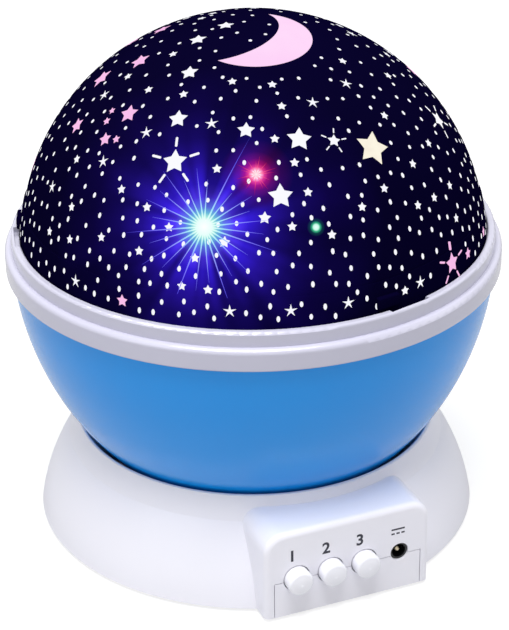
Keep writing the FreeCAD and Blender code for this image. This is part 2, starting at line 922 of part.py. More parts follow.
def control_board():
    half = size("board_width") / 2
    plate = box(
        "board_blank", (-half, -board_front, size("board_low")), (half, -board_back, size("board_high")),
    )
    holes = [
        rod(f"board_hole_{i}", size("small_screw_radius"), size("board_thickness") + 2 * PAST,
            side * size("standoff_side"), -board_front - PAST, size("standoff_height"), TURN_TO_Y)
        for i, side in enumerate((-1, 1), start=1)
    ]
    return cut("control_board", plate, *holes)


def board_parts():
    """Controller chip and smoothing capacitor on the back of the board."""
    half = size("chip_width") / 2
    chip = box(
        "chip",
        (-half, -board_back, size("chip_low")),
        (half, size("chip_depth") - board_back, size("chip_high")),
    )
    capacitor = rod(
        "capacitor", size("capacitor_radius"), size("capacitor_length"), size("capacitor_side"), -board_back,
        size("capacitor_height"), TURN_TO_Y,
    )
    return group("board_parts", [chip, capacitor])


def board_screws():
    return group(
        "board_screws",
        [
            screw(f"board_screw_{i}", "small_", size("board_screw_length"), side * size("standoff_side"),
                  -board_back, size("standoff_height"), TURN_TO_Y)
            for i, side in enumerate((-1, 1), start=1)
        ],
    )


def switch(index):
    """Push switch body with a blind bore for its plunger."""
    half = size("switch_width") / 2
    x = button_xs[index - 1]
    face = board_front + size("switch_height")
    body = box(
        f"switch_body_{index}",
        (x - half, -face, button_z - half),
        (x + half, -board_front, button_z + half),
    )
    bore = rod(
        f"switch_bore_{index}", size("plunger_radius") + size("plunger_gap"),
        size("switch_height") - size("switch_floor") + PAST, x, -board_front - size("switch_floor"),
        button_z, TURN_TO_FRONT,
    )
    return cut(f"switch_{index}", body, bore)


button_back = wall_inside - size("button_slack") - size("button_flange") - size("stem_length")
switch_room = size("switch_floor") + size("button_travel") + size("plunger_rest")
plunger_length = button_back - board_front - switch_room


def button(index):
    """Round push button: crowned cap, retaining flange behind the wall and a stem."""
    radius = size("button_radius")
    flange = size("button_flange_radius")
    stem = size("stem_radius")
    stem_end = size("stem_length")
    flange_end = stem_end + size("button_flange")
    top = reach + size("button_proud") - button_back
    soft = size("button_round")
    crown = size("button_crown")
    flat = radius - soft
    crown_radius = (flat * flat + crown * crown) / (crown * 2)
    corners = [
        (0, 0), (stem, 0), (stem, stem_end), (flange, stem_end), (flange, flange_end),
        (radius, flange_end), (radius, top - crown - soft), (flat, top - crown), (0, top),
    ]
    cap = turned(f"button_{index}", corners, {6: soft, 7: crown_radius})
    return place(cap, button_xs[index - 1], -button_back, button_z, TURN_TO_FRONT)


def pointed(label, radius, length):
    """Upright pin with a small chamfer round its tip."""
    corners = [(0, 0), (radius, 0), (radius, length - fine), (radius - fine, length), (0, length)]
    return turned(label, corners)


def plunger(index):
    stalk = pointed(f"plunger_{index}", size("plunger_radius"), plunger_length)
    return place(stalk, button_xs[index - 1], plunger_length - button_back, button_z, TURN_TO_FRONT)


def dc_jack():
    """Barrel socket: body on the board, round snout in the wall and a bore with a centre pin."""
    half = size("jack_body_width") / 2
    tall = size("jack_body_height") / 2
    body = box(
        "jack_body",
        (jack_x - half, -wall_inside, jack_z - tall),
        (jack_x + half, -board_front, jack_z + tall),
    )
    snout = rod("jack_snout", size("jack_snout_radius"), jack_tip - wall_inside + PAST,
                jack_x, PAST - wall_inside, jack_z, TURN_TO_FRONT)
    depth = size("jack_bore_depth")
    bore = rod("jack_bore", size("jack_bore_radius"), depth + PAST, jack_x, depth - jack_tip, jack_z,
               TURN_TO_FRONT)
    return cut("dc_jack", fuse("jack_block", body, snout), bore)


def dc_jack_pin():
    depth = size("jack_bore_depth")
    pin = pointed("dc_jack_pin", size("jack_pin_radius"), depth - size("jack_pin_setback"))
    return place(pin, jack_x, depth - jack_tip, jack_z, TURN_TO_FRONT)


def motor_case():
    """Flat geared motor with its output shaft off centre, hung under the tray by two ears."""
    radius = size("motor_radius")
    height = size("motor_height")
    soft = size("motor_round")
    low = tray_bottom - height
    corners = [(0, 0), (radius - soft, 0), (radius, soft), (radius, height), (0, height)]
    can = place(turned("motor_can", corners, {1: soft}), motor_x, 0, low)
    ears = []
    for i, y in enumerate(motor_ear_places(), start=1):
        ears.append(
            rod(f"motor_ear_{i}", size("motor_ear_radius"), size("motor_ear_thickness"), motor_x, y,
                tray_bottom - size("motor_ear_thickness"))
        )
    boss = rod("motor_boss", size("motor_boss_radius"), size("motor_boss_height") + PAST, shaft_x, 0,
               tray_bottom - PAST)
    terminal_x = motor_x - size("terminal_side")
    terminal_half = size("terminal_width") / 2
    terminal = box(
        "motor_terminal",
        (terminal_x - terminal_half, -radius - size("terminal_reach"), low + size("terminal_low")),
        (terminal_x + terminal_half, size("terminal_root") - radius, low + size("terminal_high")),
    )
    ear = size("motor_ear_thickness")
    holes = [
        rod(f"motor_ear_hole_{i}", size("small_screw_radius"), ear + 2 * PAST, motor_x, y,
            tray_bottom - ear - PAST)
        for i, y in enumerate(motor_ear_places(), start=1)
    ]
    depth = size("motor_shaft_depth") + size("motor_boss_height")
    bore = rod("motor_bore", size("motor_shaft_radius") + size("running_gap"), depth + PAST, shaft_x, 0,
               tray_bottom - size("motor_shaft_depth"))
    return cut("motor_case", fuse("motor_block", can, *ears, boss, terminal), *holes, bore)


def motor_screws():
    return group(
        "motor_screws",
        [
            screw(f"motor_screw_{i}", "small_", size("motor_ear_thickness") + size("motor_screw_grip"),
                  motor_x, y, tray_bottom - size("motor_ear_thickness"), TURN_OVER)
            for i, y in enumerate(motor_ear_places(), start=1)
        ],
    )


pinion_top = bowl_foot - size("gear_clearance")


def motor_shaft():
    low = tray_bottom - size("motor_shaft_depth") + size("motor_shaft_gap")
    return rod("motor_shaft", size("motor_shaft_radius"), pinion_top - low, shaft_x, 0, low)


def gear_wire(teeth, addendum, start_angle):
    """Outline of a spur gear: involute flanks above the base circle and straight roots below it."""
    module = gear_module.value
    pitch = module * teeth / 2
    base = pitch * math.cos(math.radians(size("gear_pressure_angle").value))
    tip = pitch + addendum
    foot = pitch - size("gear_dedendum").value
    start = max(base, foot)
    half_pitch = math.pi / teeth / 2 - size("gear_backlash").value / pitch

    def roll(radius):
        turn = math.sqrt(max((radius / base) ** 2 - 1, 0))
        return turn - math.atan(turn)

    flank = []
    steps = 6
    for i in range(steps + 1):
        radius = start + (tip - start) * i / steps
        flank.append((radius, half_pitch + roll(pitch) - roll(radius)))
    if foot < start:
        flank.insert(0, (foot, flank[0][1]))
    points = []
    for tooth in range(teeth):
        middle = math.radians(start_angle) + 2 * math.pi * tooth / teeth
        side = [(r, middle - a) for r, a in flank] + [(r, middle + a) for r, a in reversed(flank)]
        points += [Vector(r * math.cos(a), r * math.sin(a), 0) for r, a in side]
    return Part.makePolygon(points + points[:1])


def gear_blank(label, teeth, addendum, start_angle, thickness, x, z):
    disc = Part.Face(gear_wire(teeth, addendum, start_angle)).extrude(Vector(0, 0, thickness.value))
    return place(made(label, disc), x, 0, z)


def ring_gear():
    """Large spur gear under the bowl, which turns on the base's journal."""
    teeth = int(size("ring_teeth").value)
    blank = gear_blank("ring_gear_blank", teeth, size("ring_addendum").value, 0, size("gear_thickness"), 0,
                       gear_bottom)
    through = size("gear_thickness") + 2 * PAST
    low = gear_bottom - PAST
    tools = [rod("ring_gear_bore", journal_radius + size("running_gap"), through, 0, 0, low)]
    for i, (x, y) in enumerate(gear_screw_places(), start=1):
        tools.append(rod(f"ring_gear_pilot_{i}", size("small_screw_radius"), through, x, y, low))
    for i in range(3):
        x, y = polar(gear_screw_circle, 60 + 120 * i)
        tools.append(rod(f"ring_gear_window_{i}", size("gear_window_radius"), through, x, y, low))
    return cut("ring_gear", blank, *tools)


gear_screw_circle = size("post_flange_radius") + size("small_screw_head_radius") + size("gear_screw_gap")


def gear_screw_places():
    return [polar(gear_screw_circle, 120 * i) for i in range(3)]


def gear_screws():
    length = bowl_wall + size("gear_thickness") - size("gear_screw_setback")
    return group(
        "gear_screws",
        [
            screw(f"gear_screw_{i}", "small_", length, x, y, bowl_floor_top)
            for i, (x, y) in enumerate(gear_screw_places(), start=1)
        ],
    )


def drive_pinion():
    """Pinion on the motor's shaft, turned half a tooth so that it meshes with the ring gear."""
    teeth = int(size("pinion_teeth").value)
    thickness = pinion_top - gear_bottom
    half_tooth = 180 / teeth
    blank = gear_blank("pinion_blank", teeth, gear_module.value, half_tooth, thickness, shaft_x, gear_bottom)
    bore = rod("pinion_bore", size("motor_shaft_radius"), thickness + 2 * PAST, shaft_x, 0,
               gear_bottom - PAST)
    return cut("drive_pinion", blank, bore)


def washer(label, inner, outer, low, thickness):
    high = low + thickness
    return turned(label, [(inner, low), (outer, low), (outer, high), (inner, high)])


def bowl():
    """Blue bowl: flat floor with a hole for the journal, curved wall, spigot and four plate bosses."""
    floor_inside = bowl_arc.at(bowl_floor_top, -bowl_wall)
    taper_low = shoulder - size("spigot_depth") - size("spigot_taper")
    spigot_inner = spigot_radius - bowl_wall
    shell = turned(
        "bowl_shell",
        [
            (bowl_bore, bowl_foot), (bowl_foot_radius, bowl_foot), (bowl_radius, shoulder),
            (spigot_radius, shoulder), (spigot_radius, spigot_top), (spigot_inner, spigot_top),
            (spigot_inner, shoulder - size("spigot_depth")),
            (bowl_arc.at(taper_low, -bowl_wall), taper_low), (floor_inside, bowl_floor_top),
            (bowl_bore, bowl_floor_top),
        ],
        {1: size("bowl_curve"), 7: bowl_wall - size("bowl_curve")},
    )
    length = size("plate_boss_length")
    posts = [
        rod(f"plate_boss_{i}", size("plate_boss_radius"), length, x, y, spigot_top - length)
        for i, (x, y) in enumerate(plate_screw_places(), start=1)
    ]
    holes = [
        rod(f"plate_pilot_{i}", size("small_screw_radius"), size("plate_pilot_depth") + PAST, x, y,
            spigot_top - size("plate_pilot_depth"))
        for i, (x, y) in enumerate(plate_screw_places(), start=1)
    ]
    holes += [
        rod(f"gear_clear_{i}", size("small_screw_radius"), bowl_wall + 2 * PAST, x, y, bowl_foot - PAST)
        for i, (x, y) in enumerate(gear_screw_places(), start=1)
    ]
    return cut("bowl", fuse("bowl_with_bosses", shell, *posts), *holes)


def plate_screw_places():
    circle = spigot_radius - bowl_wall - size("plate_boss_inset")
    return [polar(circle, 45 + 90 * i) for i in range(4)]


def trim_ring():
    """White trim ring in two rounded tiers, with three shallow notches inside its lip."""
    low_edge = size("ring_edge_round")
    bend = size("ring_shoulder_round")
    lip = size("lip_round")
    inner = size("lip_inner_round")
    seat = lip_inner - size("dome_gap") - size("dome_seat_width")
    ring = turned(
        "ring_body",
        [
            (spigot_radius, shoulder), (ring_radius - low_edge, shoulder),
            (ring_radius, shoulder + low_edge), (ring_radius, ledge_height - bend),
            (ring_radius - bend, ledge_height), (lip_radius, ledge_height),
            (lip_radius, lip_top - lip), (lip_radius - lip, lip_top), (lip_inner + inner, lip_top),
            (lip_inner, lip_top - inner), (lip_inner, seat_height), (seat, seat_height),
            (seat, plate_top), (spigot_radius, plate_top),
        ],
        {1: low_edge, 3: bend, 6: lip, 8: inner},
    )
    cuts = []
    for i in range(3):
        notch = box(
            f"ring_notch_{i}",
            (0, 0, 0),
            (size("notch_depth") + 2 * PAST, size("notch_width"), size("notch_height") + PAST),
        )
        angle = size("notch_angle") + 120 * i
        cuts.append(place_round(notch, angle, lip_inner - 2 * PAST, lip_top - size("notch_height")))
    return cut("trim_ring", ring, *cuts)


def reflector_plate():
    """White plate that closes the bowl round the lamp, with an upturned inner rim."""
    inner = cup_radius + size("plate_hole_gap")
    rim = inner + size("plate_rim_width")
    rise = plate_top + size("plate_rim_height")
    plate = turned(
        "plate_body",
        [
            (inner, spigot_top), (spigot_radius, spigot_top), (spigot_radius, plate_top), (rim, plate_top),
            (rim - chamfer, rise), (inner, rise),
        ],
    )
    holes = [
        rod(f"plate_hole_{i}", size("small_screw_radius"), size("plate_thickness") + 2 * PAST, x, y,
            spigot_top - PAST)
        for i, (x, y) in enumerate(plate_screw_places(), start=1)
    ]
    return cut("reflector_plate", plate, *holes)


def plate_screws():
    return group(
        "plate_screws",
        [
            screw(f"plate_screw_{i}", "small_", size("plate_screw_length"), x, y, plate_top)
            for i, (x, y) in enumerate(plate_screw_places(), start=1)
        ],
    )


def dome_reach(height, offset=0):
    """Radius of the dome at a height, on its sphere moved outwards by the offset."""
    radius = dome_radius + offset
    rise = height - dome_centre
    return root(radius * radius - rise * rise)


def star_dome():
    """Thin half-ball shade with a slightly prouder rim band and three grip tabs."""
    wall = size("dome_wall")
    low = seat_height + size("dome_seat_gap")
    band = lip_top + size("dome_band_height")
    shell = turned(
        "dome_shell",
        [
            (dome_reach(low, -wall), low), (dome_reach(low, band_step), low),
            (dome_reach(band, band_step), band), (dome_reach(band + band_step), band + band_step),
            (0, dome_centre + dome_radius), (0, dome_centre + dome_radius - wall),
        ],
        {1: dome_radius + band_step, 3: dome_radius, 5: wall - dome_radius},
    )
    tabs = []
    foot = lip_top + size("tab_rise")
    for i in range(3):
        tab = box(
            f"dome_tab_{i}",
            (0, 0, 0),
            (size("tab_root") + size("tab_proud"), size("tab_width"), size("tab_height")),
        )
        angle = size("tab_angle") + 120 * i
        tabs.append(place_round(tab, angle, dome_reach(foot) - size("tab_root"), foot))
    return fuse("star_dome", shell, *tabs)


def lamp_post():
    """Hollow post on the journal. Its flange holds the bowl down, and the lamp lead runs inside."""
    radius = size("post_radius")
    bore = size("post_bore_radius")
    flange = size("post_flange_radius")
    bend = size("post_root_round")
    top = journal_top + size("post_flange")
    body = turned(
        "post_body",
        [
            (bore, journal_top), (flange, journal_top), (flange, top - chamfer), (flange - chamfer, top),
            (radius + bend, top), (radius, top + bend), (radius, post_top), (bore, post_top),
        ],
        {4: -bend},
    )
    holes = [
        rod(f"post_hole_{i}", size("small_screw_radius"), size("post_flange") + 2 * PAST, x, y,
            journal_top - PAST)
        for i, (x, y) in enumerate(post_screw_places(), start=1)
    ]
    seats = [
        rod(f"post_screw_seat_{i}", size("small_screw_head_radius") + size("screw_seat_gap"),
            bend + PAST, x, y, top)
        for i, (x, y) in enumerate(post_screw_places(), start=1)
    ]
    return cut("lamp_post", body, *holes, *seats)


def post_screws():
    top = journal_top + size("post_flange")
    return group(
        "post_screws",
        [
            screw(f"post_screw_{i}", "small_", size("post_flange") + size("post_screw_grip"), x, y, top)
            for i, (x, y) in enumerate(post_screw_places(), start=1)
        ],
    )


def lamp_cup():
    """Cup on top of the post that holds the lamp board."""
    bore = size("post_bore_radius")
    skirt = post_top - size("cup_hub_length")
    ledge = cup_inner - size("cup_ledge")
    rim_top = board_high_z + size("cup_rim")
    return turned(
        "lamp_cup",
        [
            (bore, post_top), (size("post_radius"), post_top), (size("post_radius"), skirt),
            (hub_radius, skirt), (hub_radius, post_top), (cup_radius, post_top), (cup_radius, rim_top),
            (cup_inner, rim_top), (cup_inner, board_low_z), (ledge, board_low_z),
            (ledge, cup_floor_top), (bore, cup_floor_top),
        ],
    )


def led_board():
    edge = cup_inner - size("lamp_gap")
    corners = [(0, board_low_z), (edge, board_low_z), (edge, board_high_z), (0, board_high_z)]
    return turned("led_board", corners)


def led(label, x, y):
    """Round lamp with a rim at its foot and a half-ball tip."""
    radius = size("led_radius")
    rim = size("led_rim_radius")
    length = size("led_length")
    corners = [
        (0, 0), (rim, 0), (rim, size("led_rim")), (radius, size("led_rim")), (radius, length - radius),
        (0, length),
    ]
    return place(turned(label, corners, {4: radius}), x, y, board_high_z)


def lead(label, radius, points):
    """Round lead along straight runs joined by arcs as large as the runs allow."""
    spots = [Vector(*[as_size(c).value for c in point]) for point in points]
    edges = []
    start = spots[0]
    length = 0
    for before, corner, after in zip(spots, spots[1:], spots[2:]):
        into = (corner - before).normalize()
        out = (after - corner).normalize()
        turn = into.getAngle(out)
        trim = 0.45 * min(corner.distanceToPoint(before), corner.distanceToPoint(after))
        bend = trim / math.tan(turn / 2)
        first = corner - into * trim
        last = corner + out * trim
        inward = (out - into).normalize()
        middle = corner + inward * (bend / math.cos(turn / 2) - bend)
        edges.append(Part.LineSegment(start, first).toShape())
        edges.append(Part.Arc(first, middle, last).toShape())
        length += start.distanceToPoint(first) + bend * turn
        start = last
    edges.append(Part.LineSegment(start, spots[-1]).toShape())
    length += start.distanceToPoint(spots[-1])
    path = Part.Wire(edges)
    section = Part.Wire(Part.makeCircle(radius.value, spots[0], spots[1] - spots[0]))
    tube = path.makePipeShell([section], True, True)
    full = math.pi * radius.value ** 2 * length
    if abs(tube.Volume - full) > 0.01 * full:
        raise ValueError(f"{label}: tube volume {tube.Volume:.2f} is not {full:.2f}")
    return made(label, tube)


def lamp_lead():
    """Four-core lead from the control board, through the journal and up the post to the lamp board."""
    corners = LEAD_CORNERS["lamp_lead"]
    x, _, z = corners[0]
    points = [(x, -board_back, z), *corners, (0, 0, board_low_z)]
    return lead("lamp_lead", size("lamp_lead_radius"), points)


def motor_lead():
    side = motor_x - size("terminal_side")
    middle = (size("terminal_low") + size("terminal_high")) / 2
    low = tray_bottom - size("motor_height") + middle
    front = -size("motor_radius") - size("terminal_reach")
    corners = LEAD_CORNERS["motor_lead"]
    x, _, z = corners[-1]
    start = [(side, front, low), (side, front - size("motor_lead_run"), low)]
    return lead("motor_lead", size("lead_radius"), [*start, *corners, (x, -board_back, z)])


def battery_lead():
    corners = LEAD_CORNERS["battery_lead"]
    first_x, _, first_z = corners[0]
    last_x, _, last_z = corners[-1]
    start = (first_x, bay_front - bay_wall, first_z)
    return lead("battery_lead", size("lead_radius"), [start, *corners, (last_x, -board_back, last_z)])


# Base and what it carries
node(base_shell())
node(bottom_cover())
node(rubber_feet())
node(cover_screws())
node(battery_door())
for index in (1, 2, 3):
    node(battery(index))
node(battery_springs())
node(battery_contacts())
node(battery_lead())
node(control_board())
node(board_parts())
node(board_screws())
for index in (1, 2, 3):
    node(switch(index))
    node(plunger(index))
    node(button(index))
node(dc_jack())
node(dc_jack_pin())

# Drive
node(motor_case())
node(motor_screws())
node(motor_lead())
node(motor_shaft())
node(drive_pinion())
node(ring_gear())
node(gear_screws())
thrust_inner = journal_radius + size("thrust_gap")
thrust_outer = thrust_inner + size("thrust_width")
node(washer("thrust_washer", thrust_inner, thrust_outer, tray_top, size("thrust_thickness")))
retainer_outer = size("post_flange_radius") - size("thrust_gap")
node(washer("retaining_washer", thrust_inner, retainer_outer, bowl_floor_top, size("retainer_thickness")))

# Globe
node(bowl())
node(trim_ring())
node(reflector_plate())
node(plate_screws())
node(star_dome())

# Lamp
node(lamp_post())
node(post_screws())
node(lamp_cup())
node(led_board())
node(led("led_warm_white", 0, 0))
lamp_circle = size("led_circle")
for colour, step in (("blue", 0), ("red", -120), ("green", 120)):
    direction = size("led_angle") + step
    node(led(f"led_{colour}", lamp_circle * cosine(direction), lamp_circle * sine(direction)))
node(lamp_lead())

# Checks, then one file for each node
doc.recompute()
for item in doc.Objects:
    if "Invalid" in item.State or "Error" in item.State:
        raise RuntimeError(f"{item.Label} failed: {item.State}")
for item in nodes:
    if item.Shape.isNull() or not item.Shape.isValid() or not item.Shape.Solids:
        raise RuntimeError(f"{item.Label} has no valid solid")
os.makedirs("parts", exist_ok=True)
for item in nodes:
    item.Shape.exportStep(f"parts/{item.Label}.step")
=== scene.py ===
import json
import math
import random

import bpy
from mathutils import Matrix, Vector

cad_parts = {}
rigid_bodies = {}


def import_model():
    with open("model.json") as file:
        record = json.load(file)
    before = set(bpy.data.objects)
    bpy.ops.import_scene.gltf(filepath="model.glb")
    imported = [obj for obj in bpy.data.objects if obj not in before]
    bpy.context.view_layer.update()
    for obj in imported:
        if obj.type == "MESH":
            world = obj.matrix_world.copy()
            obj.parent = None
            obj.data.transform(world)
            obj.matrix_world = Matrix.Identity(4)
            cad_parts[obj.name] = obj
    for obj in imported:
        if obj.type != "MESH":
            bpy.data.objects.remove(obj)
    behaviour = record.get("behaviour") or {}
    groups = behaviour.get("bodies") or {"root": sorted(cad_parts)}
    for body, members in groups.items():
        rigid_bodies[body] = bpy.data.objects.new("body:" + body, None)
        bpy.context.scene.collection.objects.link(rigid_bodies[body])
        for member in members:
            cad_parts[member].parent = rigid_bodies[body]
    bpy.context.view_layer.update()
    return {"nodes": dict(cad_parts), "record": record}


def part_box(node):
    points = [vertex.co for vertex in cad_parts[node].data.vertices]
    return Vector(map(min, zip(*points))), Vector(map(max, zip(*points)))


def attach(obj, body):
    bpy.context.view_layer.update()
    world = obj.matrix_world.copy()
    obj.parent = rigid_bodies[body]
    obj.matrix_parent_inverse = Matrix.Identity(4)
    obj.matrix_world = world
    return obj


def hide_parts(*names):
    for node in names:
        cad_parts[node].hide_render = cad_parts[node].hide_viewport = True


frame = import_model()

MM = 0.001

# Shade sizes in millimetres, as the part has them. The band round its rim is prouder by a step, and begins at
# the tilt given in degrees.
SHADE_CENTRE = 73.4
SHADE_RADIUS = 58.37
SHADE_WALL = 1.6
BAND_STEP = 0.3
BAND_SUNK = 0.2
BAND_TOP = 86.0
BAND_TILT = 77.6
WINDOW_PROUD = 0.04
RAY_WALL = 0.03

# Grip tabs of the shade. Size is across, out and up, and the reach is how far from the middle they start.
TAB_COUNT = 3
TAB_FIRST = 9.5
TAB_SIZE = (6.0, 2.0, 3.0)
TAB_LOW = 79.6
TAB_REACH = 57.1

# Height of the bowl's shoulder under the ring
SHOULDER = 69.7

# Where the lamps shine through the shade: heading from the front towards +X, and angle down from the top
BLUE_GLOW = (-34.9, 61.9)
RED_GLOW = (-21.4, 49.7)
GREEN_GLOW = (-6.5, 62.6)

# The photograph's camera
CAMERA_PLACE = (-0.1912, -0.4618, 0.3103)
CAMERA_HEADING = -22.5
CAMERA_PITCH = 27.3
CAMERA_ROLL = -0.69
CAMERA_LENS = 125.04


# Modelling helpers

def fresh():
    """Leaves edit mode and selects nothing."""
    if bpy.context.object and bpy.context.object.mode != "OBJECT":
        bpy.ops.object.mode_set(mode="OBJECT")
    bpy.ops.object.select_all(action="DESELECT")


def pick(piece):
    fresh()
    piece.select_set(True)
    bpy.context.view_layer.objects.active = piece


def pick_points(piece, test):
    """In edit mode with only the points selected whose place passes the test."""
    pick(piece)
    bpy.ops.object.mode_set(mode="EDIT")
    bpy.ops.mesh.select_mode(type="VERT")
    bpy.ops.mesh.select_all(action="DESELECT")
    bpy.ops.object.mode_set(mode="OBJECT")
    for point in piece.data.vertices:
        point.select = test(point.co)
    bpy.ops.object.mode_set(mode="EDIT")


def pick_faces(piece, test):
    """In edit mode with only the faces selected whose centre passes the test."""
    pick(piece)
    bpy.ops.object.mode_set(mode="EDIT")
    bpy.ops.mesh.select_mode(type="FACE")
    bpy.ops.mesh.select_all(action="DESELECT")
    bpy.ops.object.mode_set(mode="OBJECT")
    for face in piece.data.polygons:
        face.select = test(face.center, face.normal)
    bpy.ops.object.mode_set(mode="EDIT")


def modify(piece, kind, **settings):
    pick(piece)
    modifier = piece.modifiers.new(kind.title(), kind)
    for name, value in settings.items():
        setattr(modifier, name, value)
    bpy.ops.object.modifier_apply(modifier=modifier.name)


def settle(piece):
    """Puts a piece's place into its mesh."""
    pick(piece)
    bpy.ops.object.transform_apply(location=True, rotation=True, scale=True)


def joined(name, pieces):
    fresh()
    for piece in pieces:
        piece.select_set(True)
    bpy.context.view_layer.objects.active = pieces[0]
    if len(pieces) > 1:
        bpy.ops.object.join()
    pieces[0].name = name
    pieces[0].data.name = name
    return pieces[0]


def smooth(piece, angle):
    pick(piece)
    bpy.ops.object.shade_smooth_by_angle(angle=math.radians(angle))


def copy_at(template, matrix):
    """A copy of the template with its own mesh, put in place."""
    piece = template.copy()
    piece.data = template.data.copy()
    piece.data.transform(matrix)
    bpy.context.scene.collection.objects.link(piece)
    return piece


def discard(piece):
    mesh = piece.data
    bpy.data.objects.remove(piece)
    bpy.data.meshes.remove(mesh)


def finished(piece, body, material, replaced=()):
    piece.data.materials.clear()
    piece.data.materials.append(material)
    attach(piece, body)
    if replaced:
        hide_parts(*replaced)


def direction(heading, tilt):
    """Unit vector from the shade's centre, heading counted from the front towards +X, tilt from the top."""
    heading = math.radians(heading)
    tilt = math.radians(tilt)
    across = math.sin(tilt)
    return Vector((across * math.sin(heading), -across * math.cos(heading), math.cos(tilt)))


def on_shade(heading, tilt, turn=0, width=1.0, height=1.0):
    """Matrix from a flat shape at the origin to its place on the shade's ball, centred on the origin."""
    out = direction(heading, tilt)
    east = Vector((0, 0, 1)).cross(out).normalized()
    north = out.cross(east)
    lay = Matrix((east, north, out)).transposed().to_4x4()
    lift = Matrix.Translation((0, 0, SHADE_RADIUS * MM))
    spin = Matrix.Rotation(math.radians(turn), 4, "Z")
    return lay @ lift @ spin @ Matrix.Diagonal((width, height, 1, 1))


def glow_place(place):
    """Point in metres where a lamp's light meets the shade."""
    return direction(*place) * SHADE_RADIUS * MM + Vector((0, 0, SHADE_CENTRE * MM))


# Shader groups that several materials share

def new_group(name, inputs, outputs):
    group = bpy.data.node_groups.new(name, "ShaderNodeTree")
    for label, kind, default in inputs:
        socket = group.interface.new_socket(label, in_out="INPUT", socket_type=kind)
        socket.default_value = default
    for label, kind in outputs:
        group.interface.new_socket(label, in_out="OUTPUT", socket_type=kind)
    return group, group.nodes.new("NodeGroupInput"), group.nodes.new("NodeGroupOutput")


def mixed(tree, kind="RGBA", blend="MIX"):
    """Mix node, as its factor, first and second sockets and its result."""
    node = tree.nodes.new("ShaderNodeMix")
    node.data_type = kind
    if kind == "RGBA":
        node.blend_type = blend
        return node.inputs[0], node.inputs[6], node.inputs[7], node.outputs[2]
    return node.inputs[0], node.inputs[2], node.inputs[3], node.outputs[0]


def maths(tree, operation, first, second):
    node = tree.nodes.new("ShaderNodeMath")
    node.operation = operation
    for socket, value in zip(node.inputs, (first, second)):
        if isinstance(value, (int, float)):
            socket.default_value = value
        else:
            tree.links.new(value, socket)
    return node.outputs[0]


def noise(tree, vector, scale, detail=3.0, rough=0.5):
    node = tree.nodes.new("ShaderNodeTexNoise")
    node.inputs["Detail"].default_value = detail
    node.inputs["Roughness"].default_value = rough
    tree.links.new(vector, node.inputs["Vector"])
    if isinstance(scale, (int, float)):
        node.inputs["Scale"].default_value = scale
    else:
        tree.links.new(scale, node.inputs["Scale"])
    return node.outputs["Fac"]


def moulded_group():
    """Moulded plastic: slow colour drift, a fine pitted skin, and patches rubbed a little smoother."""
    group, given, put = new_group(
        "moulded_skin",
        [
            ("Colour", "NodeSocketColor", (0.8, 0.8, 0.8, 1)),
            ("Drift", "NodeSocketColor", (0.7, 0.7, 0.7, 1)),
            ("Cloud Scale", "NodeSocketFloat", 30.0),
            ("Grain Scale", "NodeSocketFloat", 2500.0),
            ("Smooth", "NodeSocketFloat", 0.2),
            ("Rough", "NodeSocketFloat", 0.4),
        ],
        [("Colour", "NodeSocketColor"), ("Roughness", "NodeSocketFloat"), ("Height", "NodeSocketFloat")],
    )
    place = group.nodes.new("ShaderNodeTexCoord").outputs["Object"]
    cloud = noise(group, place, given.outputs["Cloud Scale"])
    grain = noise(group, place, given.outputs["Grain Scale"], 2.0)
    factor, first, second, result = mixed(group)
    group.links.new(cloud, factor)
    group.links.new(given.outputs["Colour"], first)
    group.links.new(given.outputs["Drift"], second)
    group.links.new(result, put.inputs["Colour"])
    rubbed = noise(group, place, 45.0, 2.0, 0.4)
    factor, first, second, result = mixed(group, "FLOAT")
    group.links.new(rubbed, factor)
    group.links.new(given.outputs["Smooth"], first)
    group.links.new(given.outputs["Rough"], second)
    group.links.new(result, put.inputs["Roughness"])
    group.links.new(grain, put.inputs["Height"])
    return group


def metal_group():
    """Plated metal: fine drawn lines along X, with slow dull patches."""
    group, given, put = new_group(
        "plated_metal",
        [
            ("Colour", "NodeSocketColor", (0.7, 0.7, 0.7, 1)),
            ("Dull", "NodeSocketColor", (0.5, 0.5, 0.5, 1)),
        ],
        [("Colour", "NodeSocketColor"), ("Roughness", "NodeSocketFloat"), ("Height", "NodeSocketFloat")],
    )
    place = group.nodes.new("ShaderNodeTexCoord").outputs["Object"]
    stretch = group.nodes.new("ShaderNodeMapping")
    stretch.inputs["Scale"].default_value = (150, 2600, 2600)
    group.links.new(place, stretch.inputs["Vector"])
    lines = noise(group, stretch.outputs["Vector"], 1.0, 2.0)
    patches = noise(group, place, 220.0, 3.0)
    factor, first, second, result = mixed(group)
    group.links.new(patches, factor)
    group.links.new(given.outputs["Colour"], first)
    group.links.new(given.outputs["Dull"], second)
    group.links.new(result, put.inputs["Colour"])
    factor, first, second, result = mixed(group, "FLOAT")
    group.links.new(lines, factor)
    first.default_value = 0.22
    second.default_value = 0.45
    group.links.new(result, put.inputs["Roughness"])
    group.links.new(lines, put.inputs["Height"])
    return group


def glow_group():
    """Distance in millimetres of a point from where a lamp shines through the shade."""
    group, given, put = new_group(
        "lamp_distance", [("Centre", "NodeSocketVector", (0, 0, 0))], [("Distance", "NodeSocketFloat")],
    )
    place = group.nodes.new("ShaderNodeTexCoord").outputs["Object"]
    apart = group.nodes.new("ShaderNodeVectorMath")
    apart.operation = "DISTANCE"
    group.links.new(place, apart.inputs[0])
    group.links.new(given.outputs["Centre"], apart.inputs[1])
    group.links.new(maths(group, "DIVIDE", apart.outputs["Value"], MM), put.inputs["Distance"])
    return group


MOULDED = moulded_group()
METAL = metal_group()
LAMP_DISTANCE = glow_group()


# Materials

def linear(red, green, blue):
    """Colour for a shader from the 0 to 255 values that a screen shows."""
    values = []
    for part in (red, green, blue):
        part /= 255
        values.append(part / 12.92 if part <= 0.04045 else ((part + 0.055) / 1.055) ** 2.4)
    return (*values, 1)


